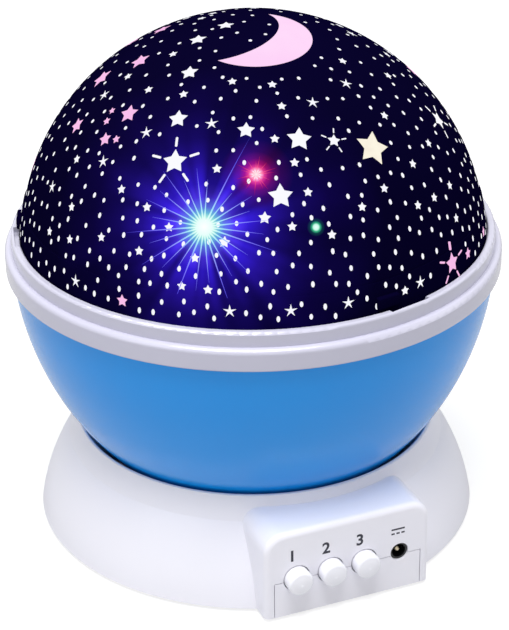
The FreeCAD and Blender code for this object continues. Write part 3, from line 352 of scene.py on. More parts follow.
def blank_material(name):
    material = bpy.data.materials.new(name)
    material.use_nodes = True
    return material, material.node_tree, material.node_tree.nodes["Principled BSDF"]


def add_bump(tree, shader, height, strength, distance=0.0001):
    bump = tree.nodes.new("ShaderNodeBump")
    bump.inputs["Strength"].default_value = strength
    bump.inputs["Distance"].default_value = distance
    tree.links.new(height, bump.inputs["Height"])
    tree.links.new(bump.outputs["Normal"], shader.inputs["Normal"])


def place_group(tree, group, **values):
    node = tree.nodes.new("ShaderNodeGroup")
    node.node_tree = group
    for name, value in values.items():
        node.inputs[name.replace("_", " ").title()].default_value = value
    return node


def plastic(name, colour, drift, smooth_part=0.2, rough_part=0.35, specular=0.5, bump=0.06, coat=0.0):
    material, tree, shader = blank_material(name)
    skin = place_group(tree, MOULDED, colour=colour, drift=drift, smooth=smooth_part, rough=rough_part)
    tree.links.new(skin.outputs["Colour"], shader.inputs["Base Color"])
    tree.links.new(skin.outputs["Roughness"], shader.inputs["Roughness"])
    add_bump(tree, shader, skin.outputs["Height"], bump)
    shader.inputs["Specular IOR Level"].default_value = specular
    shader.inputs["Coat Weight"].default_value = coat
    shader.inputs["Coat Roughness"].default_value = 0.15
    return material


def metal(name, colour, dull):
    material, tree, shader = blank_material(name)
    skin = place_group(tree, METAL, colour=colour, dull=dull)
    tree.links.new(skin.outputs["Colour"], shader.inputs["Base Color"])
    tree.links.new(skin.outputs["Roughness"], shader.inputs["Roughness"])
    add_bump(tree, shader, skin.outputs["Height"], 0.15)
    shader.inputs["Metallic"].default_value = 1
    return material


def light_ramp(tree, centre, reach, stops):
    """Colour of a lamp's light by distance in millimetres from where it shines through."""
    distance = place_group(tree, LAMP_DISTANCE)
    distance.inputs["Centre"].default_value = centre
    ramp = tree.nodes.new("ShaderNodeValToRGB")
    tree.links.new(maths(tree, "DIVIDE", distance.outputs["Distance"], reach), ramp.inputs["Fac"])
    while len(ramp.color_ramp.elements) < len(stops):
        ramp.color_ramp.elements.new(1.0)
    for element, (apart, colour) in zip(ramp.color_ramp.elements, stops):
        element.position = apart / reach
        element.color = linear(*colour)
    return ramp.outputs["Color"]


def added(tree, first, second):
    factor, a, b, result = mixed(tree, blend="ADD")
    factor.default_value = 1
    tree.links.new(first, a)
    tree.links.new(second, b)
    return result


def streaked(tree, light, centre):
    """Breaks a lamp's light into broad soft beams round its centre."""
    place = tree.nodes.new("ShaderNodeTexCoord")
    away = tree.nodes.new("ShaderNodeVectorMath")
    away.operation = "SUBTRACT"
    away.inputs[1].default_value = centre
    tree.links.new(place.outputs["Object"], away.inputs[0])
    heading = tree.nodes.new("ShaderNodeVectorMath")
    heading.operation = "NORMALIZE"
    tree.links.new(away.outputs["Vector"], heading.inputs[0])
    beams = tree.nodes.new("ShaderNodeMapRange")
    beams.inputs["From Min"].default_value = 0.35
    beams.inputs["From Max"].default_value = 0.65
    beams.inputs["To Min"].default_value = 0.45
    beams.inputs["To Max"].default_value = 1.5
    tree.links.new(noise(tree, heading.outputs["Vector"], 3.2, 1.0), beams.inputs["Value"])
    distance = tree.nodes.new("ShaderNodeVectorMath")
    distance.operation = "LENGTH"
    tree.links.new(away.outputs["Vector"], distance.inputs[0])
    reach = tree.nodes.new("ShaderNodeMapRange")
    reach.inputs["From Min"].default_value = 3.5 * MM
    reach.inputs["From Max"].default_value = 8 * MM
    tree.links.new(distance.outputs["Value"], reach.inputs["Value"])
    factor, first, second, share = mixed(tree, "FLOAT")
    tree.links.new(reach.outputs["Result"], factor)
    first.default_value = 1
    tree.links.new(beams.outputs["Result"], second)
    scaled = tree.nodes.new("ShaderNodeVectorMath")
    scaled.operation = "SCALE"
    tree.links.new(light, scaled.inputs[0])
    tree.links.new(share, scaled.inputs["Scale"])
    return scaled.outputs["Vector"]


# Colours of the lamps' light painted on the shade, each with its distance in millimetres from where the lamp
# shines through
BLUE_REACH = 42
RED_REACH = 10
GREEN_REACH = 4
BLUE_LIGHT = [
    (0, (255, 255, 255)), (1.5, (248, 255, 254)), (2.3, (165, 236, 222)), (3.2, (104, 186, 214)),
    (4.5, (92, 112, 226)), (6.9, (72, 48, 218)), (10, (42, 22, 180)), (15, (28, 12, 124)),
    (21, (14, 5, 78)), (29, (5, 1, 42)), (42, (0, 0, 0)),
]
RED_LIGHT = [
    (0, (255, 255, 250)), (0.9, (255, 240, 240)), (1.2, (255, 170, 200)), (1.8, (226, 56, 116)),
    (2.6, (160, 10, 76)), (3.8, (92, 3, 48)), (5.5, (42, 1, 24)), (8.5, (0, 0, 0)),
]
GREEN_LIGHT = [
    (0, (240, 255, 248)), (0.6, (200, 255, 230)), (0.95, (50, 180, 120)), (1.4, (6, 58, 38)),
    (2.1, (0, 0, 0)),
]


def shade_material():
    """Dark translucent shade with the lamps' light painted into it as glow round where each lamp shines
    through.
    """
    material, tree, shader = blank_material("shade_print_and_painted_glow")
    skin = place_group(
        tree, MOULDED, colour=linear(3, 1, 26), drift=linear(7, 4, 36),
        cloud_scale=18.0, smooth=0.25, rough=0.45,
    )
    tree.links.new(skin.outputs["Colour"], shader.inputs["Base Color"])
    tree.links.new(skin.outputs["Roughness"], shader.inputs["Roughness"])
    add_bump(tree, shader, skin.outputs["Height"], 0.05)
    shader.inputs["Specular IOR Level"].default_value = 0.0
    # Painted light: the lamps' glow put into the shade as emission, fixed to the shade
    blue_place = glow_place(BLUE_GLOW)
    blue = streaked(tree, light_ramp(tree, blue_place, BLUE_REACH, BLUE_LIGHT), blue_place)
    red = light_ramp(tree, glow_place(RED_GLOW), RED_REACH, RED_LIGHT)
    green = light_ramp(tree, glow_place(GREEN_GLOW), GREEN_REACH, GREEN_LIGHT)
    tree.links.new(added(tree, added(tree, blue, red), green), shader.inputs["Emission Color"])
    shader.inputs["Emission Strength"].default_value = 1
    return material


def window_material(name, colour, drift, cloud_scale=120.0):
    """Clear window of the shade, lit from inside: that light is painted on as its glow."""
    material, tree, shader = blank_material(name)
    skin = place_group(tree, MOULDED, colour=colour, drift=drift, cloud_scale=cloud_scale)
    tree.links.new(skin.outputs["Colour"], shader.inputs["Emission Color"])
    tree.links.new(skin.outputs["Roughness"], shader.inputs["Roughness"])
    add_bump(tree, shader, skin.outputs["Height"], 0.03)
    shader.inputs["Base Color"].default_value = (0.02, 0.02, 0.03, 1)
    shader.inputs["Specular IOR Level"].default_value = 0.0
    shader.inputs["Emission Strength"].default_value = 1
    return material


RAY_REACH = 30
RED_RAY_REACH = 8
RAY_LIGHT = [
    (0, (255, 255, 255)), (2.5, (220, 255, 248)), (4, (165, 235, 250)), (7, (150, 165, 255)),
    (11, (124, 116, 252)), (16, (88, 78, 232)), (22, (46, 36, 165)), (29, (10, 5, 60)),
]
RED_RAY_LIGHT = [
    (0, (255, 240, 240)), (1.5, (255, 90, 150)), (3.5, (190, 10, 80)), (6, (90, 2, 40)), (8, (30, 2, 50)),
]


# Painted light: the rays glow in the lamps' colours
def ray_material(name, centre, reach, stops):
    material, tree, shader = blank_material(name)
    tree.links.new(light_ramp(tree, centre, reach, stops), shader.inputs["Emission Color"])
    shader.inputs["Base Color"].default_value = linear(3, 1, 24)
    shader.inputs["Specular IOR Level"].default_value = 0.05
    shader.inputs["Emission Strength"].default_value = 1
    return material


def lens_material(name, colour, strength):
    """Lamp lens: tinted clear resin that glows in its own colour."""
    material, tree, shader = blank_material(name)
    skin = place_group(tree, MOULDED, colour=colour, drift=tuple(c * 0.6 for c in colour[:3]) + (1,))
    tree.links.new(skin.outputs["Colour"], shader.inputs["Base Color"])
    tree.links.new(skin.outputs["Colour"], shader.inputs["Emission Color"])
    shader.inputs["Emission Strength"].default_value = strength
    shader.inputs["Roughness"].default_value = 0.08
    shader.inputs["Transmission Weight"].default_value = 0.5
    shader.inputs["IOR"].default_value = 1.5
    return material


def bowl_material(name, colour, drift, line):
    """Glossy bowl with painted shade: a thin darker line where it meets the ring."""
    material = plastic(name, colour, drift, 0.14, 0.22, 0.45, 0.02)
    tree = material.node_tree
    shader = tree.nodes["Principled BSDF"]
    skin = shader.inputs["Base Color"].links[0].from_socket
    place = tree.nodes.new("ShaderNodeTexCoord")
    parts = tree.nodes.new("ShaderNodeSeparateXYZ")
    tree.links.new(place.outputs["Object"], parts.inputs["Vector"])
    # Mask for the painted shade just under the ring's overhang
    seam_shade_mask = tree.nodes.new("ShaderNodeMapRange")
    seam_shade_mask.inputs["From Min"].default_value = (SHOULDER - 0.55) * MM
    seam_shade_mask.inputs["From Max"].default_value = (SHOULDER - 0.15) * MM
    tree.links.new(parts.outputs["Z"], seam_shade_mask.inputs["Value"])
    factor, first, second, result = mixed(tree)
    tree.links.new(seam_shade_mask.outputs["Result"], factor)
    tree.links.new(skin, first)
    second.default_value = line
    tree.links.new(result, shader.inputs["Base Color"])
    return material


white_shell = plastic("white_shell", linear(238, 237, 245), linear(233, 232, 242), 0.26, 0.36, bump=0.02)
white_ring = plastic(
    "white_ring", linear(190, 189, 206), linear(185, 184, 202), 0.18, 0.26, bump=0.02, coat=0.4,
)
# The last colour is painted shade for the line on the bowl under the ring
blue_bowl = bowl_material("blue_bowl", linear(5, 146, 232), linear(3, 138, 225), linear(4, 60, 120))
white_button = plastic("white_button", linear(240, 240, 246), linear(234, 234, 243), 0.2, 0.3, bump=0.02)
inner_white = plastic("inner_white", linear(235, 235, 232), linear(226, 226, 224), 0.4, 0.6, 0.4)
slip_plastic = plastic("slip_plastic", linear(225, 225, 220), linear(212, 212, 208), 0.35, 0.5)
gear_nylon = plastic("gear_nylon", linear(240, 236, 222), linear(228, 224, 208), 0.35, 0.5)
foot_rubber = plastic("foot_rubber", linear(205, 205, 210), linear(190, 190, 196), 0.7, 0.9, 0.3, 0.3)
black_plastic = plastic("black_plastic", linear(16, 16, 18), linear(26, 26, 29), 0.3, 0.5)
jack_black = plastic("jack_black", linear(10, 10, 12), linear(18, 18, 22), 0.08, 0.2, 0.6)
board_lacquer = plastic("board_lacquer", linear(16, 92, 48), linear(10, 74, 38), 0.25, 0.4)
cell_sleeve = plastic("cell_sleeve", linear(52, 56, 62), linear(44, 48, 54), 0.2, 0.3)
lead_cover = plastic("lead_cover", linear(150, 150, 154), linear(136, 136, 140), 0.45, 0.6)
screw_steel = metal("screw_steel", linear(200, 200, 204), linear(168, 168, 174))
contact_steel = metal("contact_steel", linear(214, 212, 206), linear(186, 184, 180))
motor_steel = metal("motor_steel", linear(196, 198, 200), linear(170, 172, 176))
pin_brass = metal("pin_brass", linear(226, 214, 190), linear(196, 178, 140))
shade_print_and_painted_glow = shade_material()
# The windows glow with painted light, standing in for the lamps' light through them
window_white = window_material("window_white", linear(255, 255, 255), linear(240, 240, 252))
window_pink = window_material("window_pink", linear(255, 196, 236), linear(240, 176, 226))
window_moon = window_material("window_moon", linear(255, 226, 248), linear(246, 192, 238), 60.0)
window_cream = window_material("window_cream", linear(255, 250, 228), linear(238, 226, 208), 400.0)
label_print = plastic("label_print", linear(30, 30, 46), linear(44, 44, 60), 0.4, 0.55)
lens_clear = lens_material("lens_clear", linear(255, 240, 205), 0.8)
lens_blue = lens_material("lens_blue", linear(60, 110, 255), 1.2)
lens_red = lens_material("lens_red", linear(255, 60, 70), 1.2)
lens_green = lens_material("lens_green", linear(70, 240, 110), 1.2)

SLOT_MATERIALS = {
    "base_white": white_shell, "bowl_blue": blue_bowl, "ring_white": white_ring, "dome_tint": shade_print_and_painted_glow,
    "button_white": white_button, "inner_white": inner_white, "gear_nylon": gear_nylon,
    "slip_plastic": slip_plastic, "foot_rubber": foot_rubber, "screw_steel": screw_steel,
    "contact_steel": contact_steel, "cell_jacket": cell_sleeve, "lead_cover": lead_cover,
    "board_green": board_lacquer, "chip_black": black_plastic, "jack_black": jack_black,
    "pin_brass": pin_brass, "motor_steel": motor_steel, "led_clear": lens_clear, "led_blue": lens_blue,
    "led_red": lens_red, "led_green": lens_green,
}
for part in frame["record"]["subparts"]:
    node = frame["nodes"][part["node"]]
    node.data.materials.clear()
    node.data.materials.append(SLOT_MATERIALS[part["material_slot"]])


# Shade

def shade():
    """Half-ball shade with its wall, the prouder band at its rim and three grip tabs."""
    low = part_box("star_dome")[0].z
    fresh()
    bpy.ops.mesh.primitive_uv_sphere_add(
        segments=192, ring_count=128, radius=SHADE_RADIUS * MM, location=(0, 0, SHADE_CENTRE * MM),
    )
    ball = bpy.context.object
    ball.name = "shade"
    settle(ball)
    bpy.ops.object.mode_set(mode="EDIT")
    bpy.ops.mesh.select_all(action="SELECT")
    bpy.ops.mesh.bisect(plane_co=(0, 0, low), plane_no=(0, 0, 1), clear_inner=True)
    bpy.ops.mesh.select_all(action="SELECT")
    bpy.ops.mesh.bisect(plane_co=(0, 0, BAND_TOP * MM), plane_no=(0, 0, 1))
    pick_faces(ball, lambda centre, normal: centre.z < BAND_TOP * MM)
    bpy.ops.mesh.duplicate()
    bpy.ops.mesh.separate(type="SELECTED")
    fresh()
    band = [item for item in bpy.context.scene.objects if item.name.startswith("shade.")][0]
    band_wall = BAND_STEP + BAND_SUNK
    modify(band, "SOLIDIFY", thickness=band_wall * MM, offset=(BAND_STEP - BAND_SUNK) / band_wall)
    modify(ball, "SOLIDIFY", thickness=SHADE_WALL * MM, offset=-1, use_even_offset=True)
    tabs = [grip_tab(TAB_FIRST + 360 / TAB_COUNT * i) for i in range(TAB_COUNT)]
    whole = joined("shade", [ball, band, *tabs])
    smooth(whole, 30)
    finished(whole, "dome", shade_print_and_painted_glow, ["star_dome"])


def grip_tab(heading):
    """Small rounded grip tab that stands out of the shade just above the ring's lip."""
    width, depth, height = TAB_SIZE
    fresh()
    bpy.ops.mesh.primitive_cube_add(size=1)
    tab = bpy.context.object
    tab.scale = (width * MM, depth * MM, height * MM)
    tab.location = (0, -(TAB_REACH + depth / 2) * MM, (TAB_LOW + height / 2) * MM)
    settle(tab)
    modify(tab, "BEVEL", width=0.45 * MM, segments=3)
    tab.data.transform(Matrix.Rotation(math.radians(heading), 4, "Z"))
    return tab


shade()


# Windows of the shade

def flat_star(tip, waist, corners=5):
    """Flat star with its first point up, as triangles round a middle point."""
    fresh()
    bpy.ops.mesh.primitive_circle_add(vertices=corners * 2, radius=tip, fill_type="NGON")
    star = bpy.context.object
    first = star.data.vertices[0].co.normalized()
    pick_points(star, lambda place: round(math.degrees(place.angle(first)) / 180 * corners) % 2 == 1)
    bpy.ops.transform.resize(value=(waist / tip, waist / tip, 1), center_override=(0, 0, 0))
    bpy.ops.mesh.select_all(action="SELECT")
    bpy.ops.mesh.poke()
    bpy.ops.mesh.subdivide(number_cuts=1)
    bpy.ops.object.mode_set(mode="OBJECT")
    return star


def flat_dot(radius, corners=12):
    fresh()
    bpy.ops.mesh.primitive_circle_add(vertices=corners, radius=radius, fill_type="NGON")
    return bpy.context.object


def flat_bar(length, width):
    """Short bar with rounded ends, lying along Y."""
    fresh()
    bpy.ops.mesh.primitive_circle_add(vertices=10, radius=width / 2, fill_type="NGON")
    bar = bpy.context.object
    for side in (1, -1):
        pick_points(bar, lambda place: place.y * side > 0)
        bpy.ops.transform.translate(value=(0, side * (length - width) / 2, 0))
        bpy.ops.object.mode_set(mode="OBJECT")
    return bar


def wrap_on_ball(piece, reach, thickness):
    """Lays flat shapes on a ball round the origin, thickens them inwards and lifts them to the shade."""
    modify(piece, "CAST", cast_type="SPHERE", factor=1, use_radius_as_size=False, size=reach * MM)
    modify(piece, "SOLIDIFY", thickness=thickness * MM, offset=-1)
    pick(piece)
    piece.location.z = SHADE_CENTRE * MM
    settle(piece)


def window_piece(name, flats, material, step=0.0):
    """Clear windows through the shade. The step is how far the band stands out under them."""
    piece = joined(name, flats)
    wrap_on_ball(piece, SHADE_RADIUS + WINDOW_PROUD + step, SHADE_WALL + step + 2 * WINDOW_PROUD)
    finished(piece, "dome", material)


# Stars by heading, tilt, reach of a point in millimetres and turn to the left
BIG_STARS = [
    (-50.9, 37.7, 2.4, 16), (-24.6, 39.0, 2.1, -1), (-6.5, 42.0, 3.0, -13), (-14.9, 54.9, 3.0, -2),
    (-58.8, 24.7, 2.2, 29), (-83.1, 14.4, 2.2, 54), (-97.2, 6.1, 2.1, 72), (-19.5, 59.6, 1.5, -5),
    (-29.6, 65.0, 1.4, -3),
]
PINK_STARS = [
    (-72.3, 40.0, 2.5, 27), (-96.8, 28.2, 2.6, 66), (-106.9, 38.5, 2.9, 70), (-134.5, 23.8, 2.4, 100),
    (-93.0, 49.3, 2.2, 50), (-75.1, 47.8, 1.8, 34), (-114.8, 69.1, 2.2, 30), (-81.0, 41.3, 0.95, 45),
    (-79.7, 44.0, 1.1, 42), (-70.6, 46.7, 1.1, 33), (-54.1, 81.6, 1.5, 5), (40.0, 81.5, 1.5, -8),
    (54.0, 82.0, 1.4, -10),
]
CREAM_STARS = [(17.5, 47.9, 4.4, -31)]
RAYED_STARS = [(-46.6, 48.0, 3.0, 12), (5.2, 43.8, 1.6, -20), (56.2, 51.9, 2.5, -60)]
PINK_RAYED_STARS = [(31.9, 80.6, 2.6, -4)]
SMALL_STARS = [
    (-9.6, 47.5), (-14.8, 41.4), (-33.1, 48.6), (-10.0, 33.1), (-11.9, 26.7), (-32.6, 25.6), (-54.0, 31.1),
    (-72.3, 32.7), (-90.9, 32.7), (-82.2, 21.5), (-82.2, 55.2), (-60.6, 57.0), (-51.3, 59.4), (-75.8, 65.3),
    (-44.1, 62.9), (-62.7, 68.8), (-73.2, 72.4), (-82.3, 73.6), (-51.1, 69.4), (-36.6, 69.0), (-39.4, 75.6),
    (-33.1, 75.9), (14.7, 81.5), (-12.6, 61.9), (-2.7, 64.8), (7.1, 60.1), (-7.2, 54.6), (15.5, 57.5),
    (24.6, 64.0), (31.6, 64.3), (38.1, 71.8), (29.1, 55.0), (40.9, 53.2), (30.0, 42.1), (52.2, 35.5),
    (37.3, 25.4), (40.4, 64.3),
]
THIN_STARS = [
    (-37.5, 37.7), (3.6, 33.3), (25.0, 31.0), (-60.5, 42.8), (-92.6, 39.7), (-71.0, 52.6), (-87.8, 64.3),
    (-68.6, 81.0), (-28.0, 80.5), (-14.2, 80.7), (-0.6, 80.7), (19.6, 81.0),
]
SMALL_REACH = 1.15
THIN_REACH = 1.6

# Bars of a rayed star, as shares of the star's reach
BAR_AWAY = 1.62
BAR_LENGTH = 0.82
BAR_ROOM = 2.2

# Crescent moon: heading and tilt of its place, its disc, the hollow in it, and places that it keeps free
MOON_PLACE = (-3.7, 9.8)
MOON_CENTRE = (-1.5, 3.1)
MOON_RADIUS = 14.2
MOON_STRIP = 1.7
MOON_STRIPS = 11
HOLLOW_CENTRE = (-9.8, 11.5)
HOLLOW_RADIUS = 16.6
MOON_SPOTS = [(-30, 17), (-8, 18), (20, 16), (48, 13), (100, 8)]
MOON_ROOM = 5.5

# Scattered stars of the back, and dots, with headings and tilts in degrees and the rest in millimetres
BACK_HEADINGS = (75, 225)
BACK_TOP_COSINE = 0.98
BACK_DRAWN_TO = 80
BACK_LOWEST = 75
DOT_TRIES = 9000
DOT_LOWEST = 83.4
DOT_FREE_TILTS = (76.6, 78.4)
DOT_ROOM = 0.8
DOT_APART = 4.1
DOT_CLOSER = 1.2
DOT_WIDTH = 0.42


def upward(heading, tilt):
    """Turn that points a star away from the front left, as the printed pattern does."""
    return (CAMERA_HEADING - heading) * math.cos(math.radians(tilt))


def flat_moon():
    """Crescent: a disc with another disc cut out of its upper left, in strips that can follow the ball."""
    fresh()
    bpy.ops.mesh.primitive_cylinder_add(
        vertices=128, radius=MOON_RADIUS * MM, depth=2 * MM,
        location=(MOON_CENTRE[0] * MM, MOON_CENTRE[1] * MM, 0),
    )
    crescent = bpy.context.object
    settle(crescent)
    fresh()
    bpy.ops.mesh.primitive_cylinder_add(
        vertices=128, radius=HOLLOW_RADIUS * MM, depth=6 * MM,
        location=(HOLLOW_CENTRE[0] * MM, HOLLOW_CENTRE[1] * MM, 0),
    )
    hollow = bpy.context.object
    settle(hollow)
    modify(crescent, "BOOLEAN", object=hollow, operation="DIFFERENCE", solver="EXACT")
    discard(hollow)
    pick_faces(crescent, lambda centre, normal: normal.z < 0.5)
    bpy.ops.mesh.delete(type="FACE")
    bpy.ops.object.mode_set(mode="OBJECT")
    for axis in (Vector((1, 0, 0)), Vector((0, 1, 0))):
        for i in range(-MOON_STRIPS, MOON_STRIPS + 1):
            pick(crescent)
            bpy.ops.object.mode_set(mode="EDIT")
            bpy.ops.mesh.select_all(action="SELECT")
            bpy.ops.mesh.bisect(plane_co=axis * i * MOON_STRIP * MM, plane_no=axis)
            bpy.ops.object.mode_set(mode="OBJECT")
    crescent.data.transform(Matrix.Translation((0, 0, -1 * MM)))
    return crescent


# Places in use, each with the room that it needs
taken = []


class Windows:
    """Flat shapes of one colour, those on the shade's ball and those on its band."""

    def __init__(self):
        self.ball = []
        self.band = []

    def add(self, flat, matrix, tilt):
        (self.band if tilt > BAND_TILT else self.ball).append(copy_at(flat, matrix))


def put(windows, flat, heading, tilt, turn, reach, room):
    """Adds a window and keeps its place free of others."""
    taken.append((direction(heading, tilt), room * MM))
    windows.add(flat, on_shade(heading, tilt, turn, reach * MM, reach * MM), tilt)


fat = flat_star(1, 0.53)
slim = flat_star(1, 0.3)
bar = flat_bar(1, 0.25)


def ray_bars(windows, heading, tilt, reach, turn):
    """Five bars that stand off the points of a rayed star."""
    for i in range(5):
        lean = math.radians(turn + 72 * i)
        away = reach * BAR_AWAY
        offset = Matrix.Translation((-math.sin(lean) * away * MM, math.cos(lean) * away * MM, 0))
        spin = Matrix.Rotation(lean, 4, "Z")
        length = reach * BAR_LENGTH
        shape = Matrix.Diagonal((length * MM, length * MM, 1, 1))
        windows.add(bar, on_shade(heading, tilt) @ offset @ spin @ shape, tilt)
    taken.append((direction(heading, tilt), reach * BAR_ROOM * MM))


white = Windows()
pink = Windows()
cream = Windows()
for stars, windows in ((BIG_STARS, white), (PINK_STARS, pink), (CREAM_STARS, cream)):
    for heading, tilt, reach, turn in stars:
        put(windows, fat, heading, tilt, turn, reach, reach + 0.5)
for stars, windows in ((RAYED_STARS, white), (PINK_RAYED_STARS, pink)):
    for heading, tilt, reach, turn in stars:
        put(windows, fat, heading, tilt, turn, reach, reach + 0.5)
        ray_bars(windows, heading, tilt, reach, turn)
for heading, tilt in SMALL_STARS:
    put(white, fat, heading, tilt, upward(heading, tilt), SMALL_REACH, 1.7)
for heading, tilt in THIN_STARS:
    put(white, slim, heading, tilt, upward(heading, tilt), THIN_REACH, 2.0)

moon = flat_moon()
for heading, tilt in MOON_SPOTS:
    taken.append((direction(heading, tilt), MOON_ROOM * MM))

# The back and the sides that the photograph doesn't show carry the same kinds of star
dice = random.Random(7)


def free_spot(heading, tilt, room):
    spot = direction(heading, tilt)
    for other, other_room in taken:
        if (spot - other).length * SHADE_RADIUS < room + other_room / MM:
            return False
    return True


def scatter(flat, count, reach, windows, room):
    """Puts stars at free places of the back, evenly by area."""
    placed = 0
    while placed < count:
        heading = dice.uniform(*BACK_HEADINGS)
        tilt = math.degrees(math.acos(dice.uniform(math.cos(math.radians(BACK_DRAWN_TO)), BACK_TOP_COSINE)))
        if not free_spot(heading, tilt, room) or tilt > BACK_LOWEST:
            continue
        put(windows, flat, heading, tilt, dice.uniform(-36, 36), reach, room)
        placed += 1


scatter(fat, 16, 2.4, white, 3.2)
scatter(fat, 8, 2.3, pink, 3.2)
scatter(slim, 12, THIN_REACH, white, 2.2)
scatter(fat, 46, SMALL_REACH, white, 1.9)


def dots():
    """Small oval windows, closer together and taller towards the rim."""
    dot = flat_dot(1)
    spots = []
    for _ in range(DOT_TRIES):
        heading = dice.uniform(-180, 180)
        tilt = math.degrees(math.acos(dice.uniform(math.cos(math.radians(DOT_LOWEST)), 1)))
        apart = DOT_APART - DOT_CLOSER * min(tilt / 75, 1) ** 2
        if DOT_FREE_TILTS[0] < tilt < DOT_FREE_TILTS[1] or not free_spot(heading, tilt, DOT_ROOM):
            continue
        spot = direction(heading, tilt)
        if any((spot - other).length * SHADE_RADIUS < apart for other in spots):
            continue
        spots.append(spot)
        tall = 0.45 + 0.25 * (tilt / 80) ** 2 + dice.uniform(-0.05, 0.06)
        white.add(dot, on_shade(heading, tilt, 0, DOT_WIDTH * MM, tall * MM), tilt)
    discard(dot)


dots()
window_piece("star_windows", white.ball, window_white)
window_piece("band_windows", white.band, window_white, BAND_STEP)
window_piece("pink_windows", pink.ball, window_pink)
window_piece("pink_band_windows", pink.band, window_pink, BAND_STEP)
window_piece("cream_window", cream.ball, window_cream)
window_piece("moon_window", [copy_at(moon, on_shade(*MOON_PLACE))], window_moon)
for template in (fat, slim, bar, moon):
    discard(template)


# Painted light rays on the shade

# Turn to the left and length in millimetres of each ray
BLUE_RAYS = [
    (-20, 25), (2, 11), (14, 14), (-34, 10), (-52, 13), (-66, 11), (-79, 15), (-92, 14), (-104, 18),
    (-118, 12), (-131, 15), (-146, 13), (-158, 20), (-171, 13), (176, 15), (161, 22), (150, 12), (137, 14),
    (124, 18), (110, 14), (98, 20), (84, 13), (70, 16), (57, 14), (43, 17), (30, 12),
]
RED_RAYS = [(i * 24 + 6 * (i % 3), 3.2 + 1.7 * ((i * 7) % 5) / 4) for i in range(15)]
RAY_STEPS = 12
RAY_TAPER = 0.92


def light_rays(name, place, lengths, width, material):
    """Thin pointed rays of painted lamp light round the place where a lamp shines through."""
    fresh()
    bpy.ops.mesh.primitive_grid_add(
        x_subdivisions=1, y_subdivisions=RAY_STEPS, size=1, location=(0, 0.5, 0),
    )
    ray = bpy.context.object
    settle(ray)
    for i in range(1, RAY_STEPS + 1):
        far = i / RAY_STEPS
        pick_points(ray, lambda point: abs(point.y - far) < 0.01)
        bpy.ops.transform.resize(value=(1 - RAY_TAPER * far, 1, 1), center_override=(0, far, 0))
        bpy.ops.object.mode_set(mode="OBJECT")
    rays = []
    for turn, length in lengths:
        spin = Matrix.Rotation(math.radians(turn), 4, "Z")
        shape = Matrix.Diagonal((width * MM, length * MM, 1, 1))
        rays.append(copy_at(ray, on_shade(*place) @ spin @ shape))
    discard(ray)
    piece = joined(name, rays)
    wrap_on_ball(piece, SHADE_RADIUS + 2 * WINDOW_PROUD, RAY_WALL)
    finished(piece, "dome", material)


blue_ray_light = ray_material("blue_ray_light", glow_place(BLUE_GLOW), RAY_REACH, RAY_LIGHT)
red_ray_light = ray_material("red_ray_light", glow_place(RED_GLOW), RED_RAY_REACH, RED_RAY_LIGHT)
light_rays("blue_rays", BLUE_GLOW, BLUE_RAYS, 0.42, blue_ray_light)
light_rays("red_rays", RED_GLOW, RED_RAYS, 0.26, red_ray_light)


# Printed marks on the control box

BOX_FRONT = -58.0
PRINT_PROUD = 0.03
DIGIT_HEIGHT = 3.1
DIGIT_SHARE = 0.72
DIGIT_FATTER = 0.11
STROKE_WIDTH = 0.45
LABEL_HEIGHT = 17.4
BUTTON_PLACES = (-13.7, -4.7, 4.3)
LABEL_SHIFT = -1.2
SOCKET_PLACE = 13.9


def printed_digit(text, x):
    """Figure over a button. A figure's height is a share of its text size."""
    fresh()
    bpy.ops.object.text_add(location=(0, 0, 0))
    mark = bpy.context.object
    mark.data.body = text
    mark.data.align_x = "CENTER"
    mark.data.align_y = "CENTER"
    mark.data.size = DIGIT_HEIGHT / DIGIT_SHARE * MM
    mark.data.offset = DIGIT_FATTER * MM
    mark.data.extrude = PRINT_PROUD / 2 * MM
    pick(mark)
    bpy.ops.object.convert(target="MESH")
    mark = bpy.context.object
    mark.rotation_euler = (math.pi / 2, 0, 0)
    mark.location = (x * MM, BOX_FRONT * MM, LABEL_HEIGHT * MM)
    settle(mark)
    return mark


def direct_current_sign(x, z):
    """One solid line over a dashed line."""
    marks = []
    for shift, lift, length in ((0, 0.6, 3.6), (-1.35, -0.6, 0.9), (0, -0.6, 0.9), (1.35, -0.6, 0.9)):
        fresh()
        bpy.ops.mesh.primitive_cube_add(size=1)
        stroke = bpy.context.object
        stroke.scale = (length * MM, PRINT_PROUD * MM, STROKE_WIDTH * MM)
        stroke.location = ((x + shift) * MM, BOX_FRONT * MM, (z + lift) * MM)
        settle(stroke)
        marks.append(stroke)
    return marks


marks = [printed_digit(str(i + 1), x + LABEL_SHIFT) for i, x in enumerate(BUTTON_PLACES)]
marks += direct_current_sign(SOCKET_PLACE - 0.5, LABEL_HEIGHT)
finished(joined("printed_marks", marks), "base", label_print)


# Stage, lamps and camera

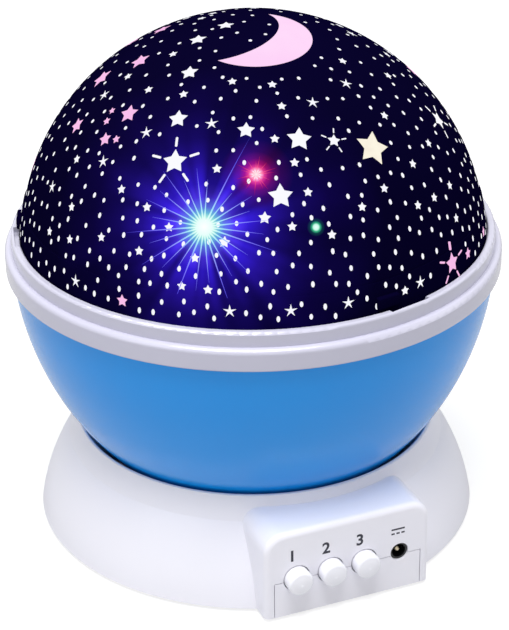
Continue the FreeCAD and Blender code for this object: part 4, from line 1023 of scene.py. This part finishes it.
def stage():
    """Pale floor that keeps the light's shadow and can be looked through from below."""
    fresh()
    bpy.ops.mesh.primitive_plane_add(size=8, location=(0, 0, -0.0002))
    floor = bpy.context.object
    floor.name = "floor"
    material, tree, shader = blank_material("pale_floor")
    shader.inputs["Base Color"].default_value = (0.35, 0.35, 0.35, 1)
    shader.inputs["Roughness"].default_value = 0.9
    path = tree.nodes.new("ShaderNodeLightPath")
    shader.inputs["Emission Color"].default_value = (1, 1, 1, 1)
    shown = maths(tree, "MULTIPLY", path.outputs["Is Camera Ray"], 0.4)
    tree.links.new(maths(tree, "ADD", shown, 0.3), shader.inputs["Emission Strength"])
    side = tree.nodes.new("ShaderNodeNewGeometry")
    clear = tree.nodes.new("ShaderNodeBsdfTransparent")
    split = tree.nodes.new("ShaderNodeMixShader")
    tree.links.new(side.outputs["Backfacing"], split.inputs[0])
    tree.links.new(shader.outputs["BSDF"], split.inputs[1])
    tree.links.new(clear.outputs["BSDF"], split.inputs[2])
    tree.links.new(split.outputs["Shader"], tree.nodes["Material Output"].inputs["Surface"])
    floor.data.materials.append(material)


def surroundings():
    """White to the camera and in reflections, and a plain soft light for the object."""
    world = bpy.data.worlds.new("studio")
    bpy.context.scene.world = world
    world.use_nodes = True
    tree = world.node_tree
    background = tree.nodes["Background"]
    path = tree.nodes.new("ShaderNodeLightPath")
    seen = maths(tree, "MAXIMUM", path.outputs["Is Camera Ray"], path.outputs["Is Transmission Ray"])
    seen = maths(tree, "MAXIMUM", seen, path.outputs["Is Glossy Ray"])
    factor, first, second, strength = mixed(tree, "FLOAT")
    tree.links.new(seen, factor)
    first.default_value = 0.46
    second.default_value = 1.0
    tree.links.new(strength, background.inputs["Strength"])
    background.inputs["Color"].default_value = (1, 1, 1, 1)


def lamp(name, size, place, aim, power):
    light = bpy.data.lights.new(name, "AREA")
    light.shape = "DISK"
    light.size = size
    light.energy = power
    item = bpy.data.objects.new(name, light)
    item.location = place
    item.rotation_euler = (Vector(aim) - Vector(place)).to_track_quat("-Z", "Y").to_euler()
    bpy.context.scene.collection.objects.link(item)


stage()
surroundings()
lamp("top_light", 0.7, (-0.14, -0.2, 1.1), (0, 0, 0.06), 14.0)
lamp("left_light", 0.6, (-0.9, -0.3, 0.6), (0, 0, 0.05), 1.4)
lamp("right_light", 0.6, (0.9, -0.3, 0.4), (0, 0, 0.05), 1.0)

camera_data = bpy.data.cameras.new("camera")
camera_data.lens = CAMERA_LENS
camera = bpy.data.objects.new("camera", camera_data)
heading = Matrix.Rotation(math.radians(CAMERA_HEADING), 4, "Z")
pitch = Matrix.Rotation(math.radians(90 - CAMERA_PITCH), 4, "X")
roll = Matrix.Rotation(math.radians(CAMERA_ROLL), 4, "Z")
camera.matrix_world = Matrix.Translation(CAMERA_PLACE) @ heading @ pitch @ roll
bpy.context.scene.collection.objects.link(camera)
bpy.context.scene.camera = camera
bpy.context.scene.view_settings.view_transform = "Standard"
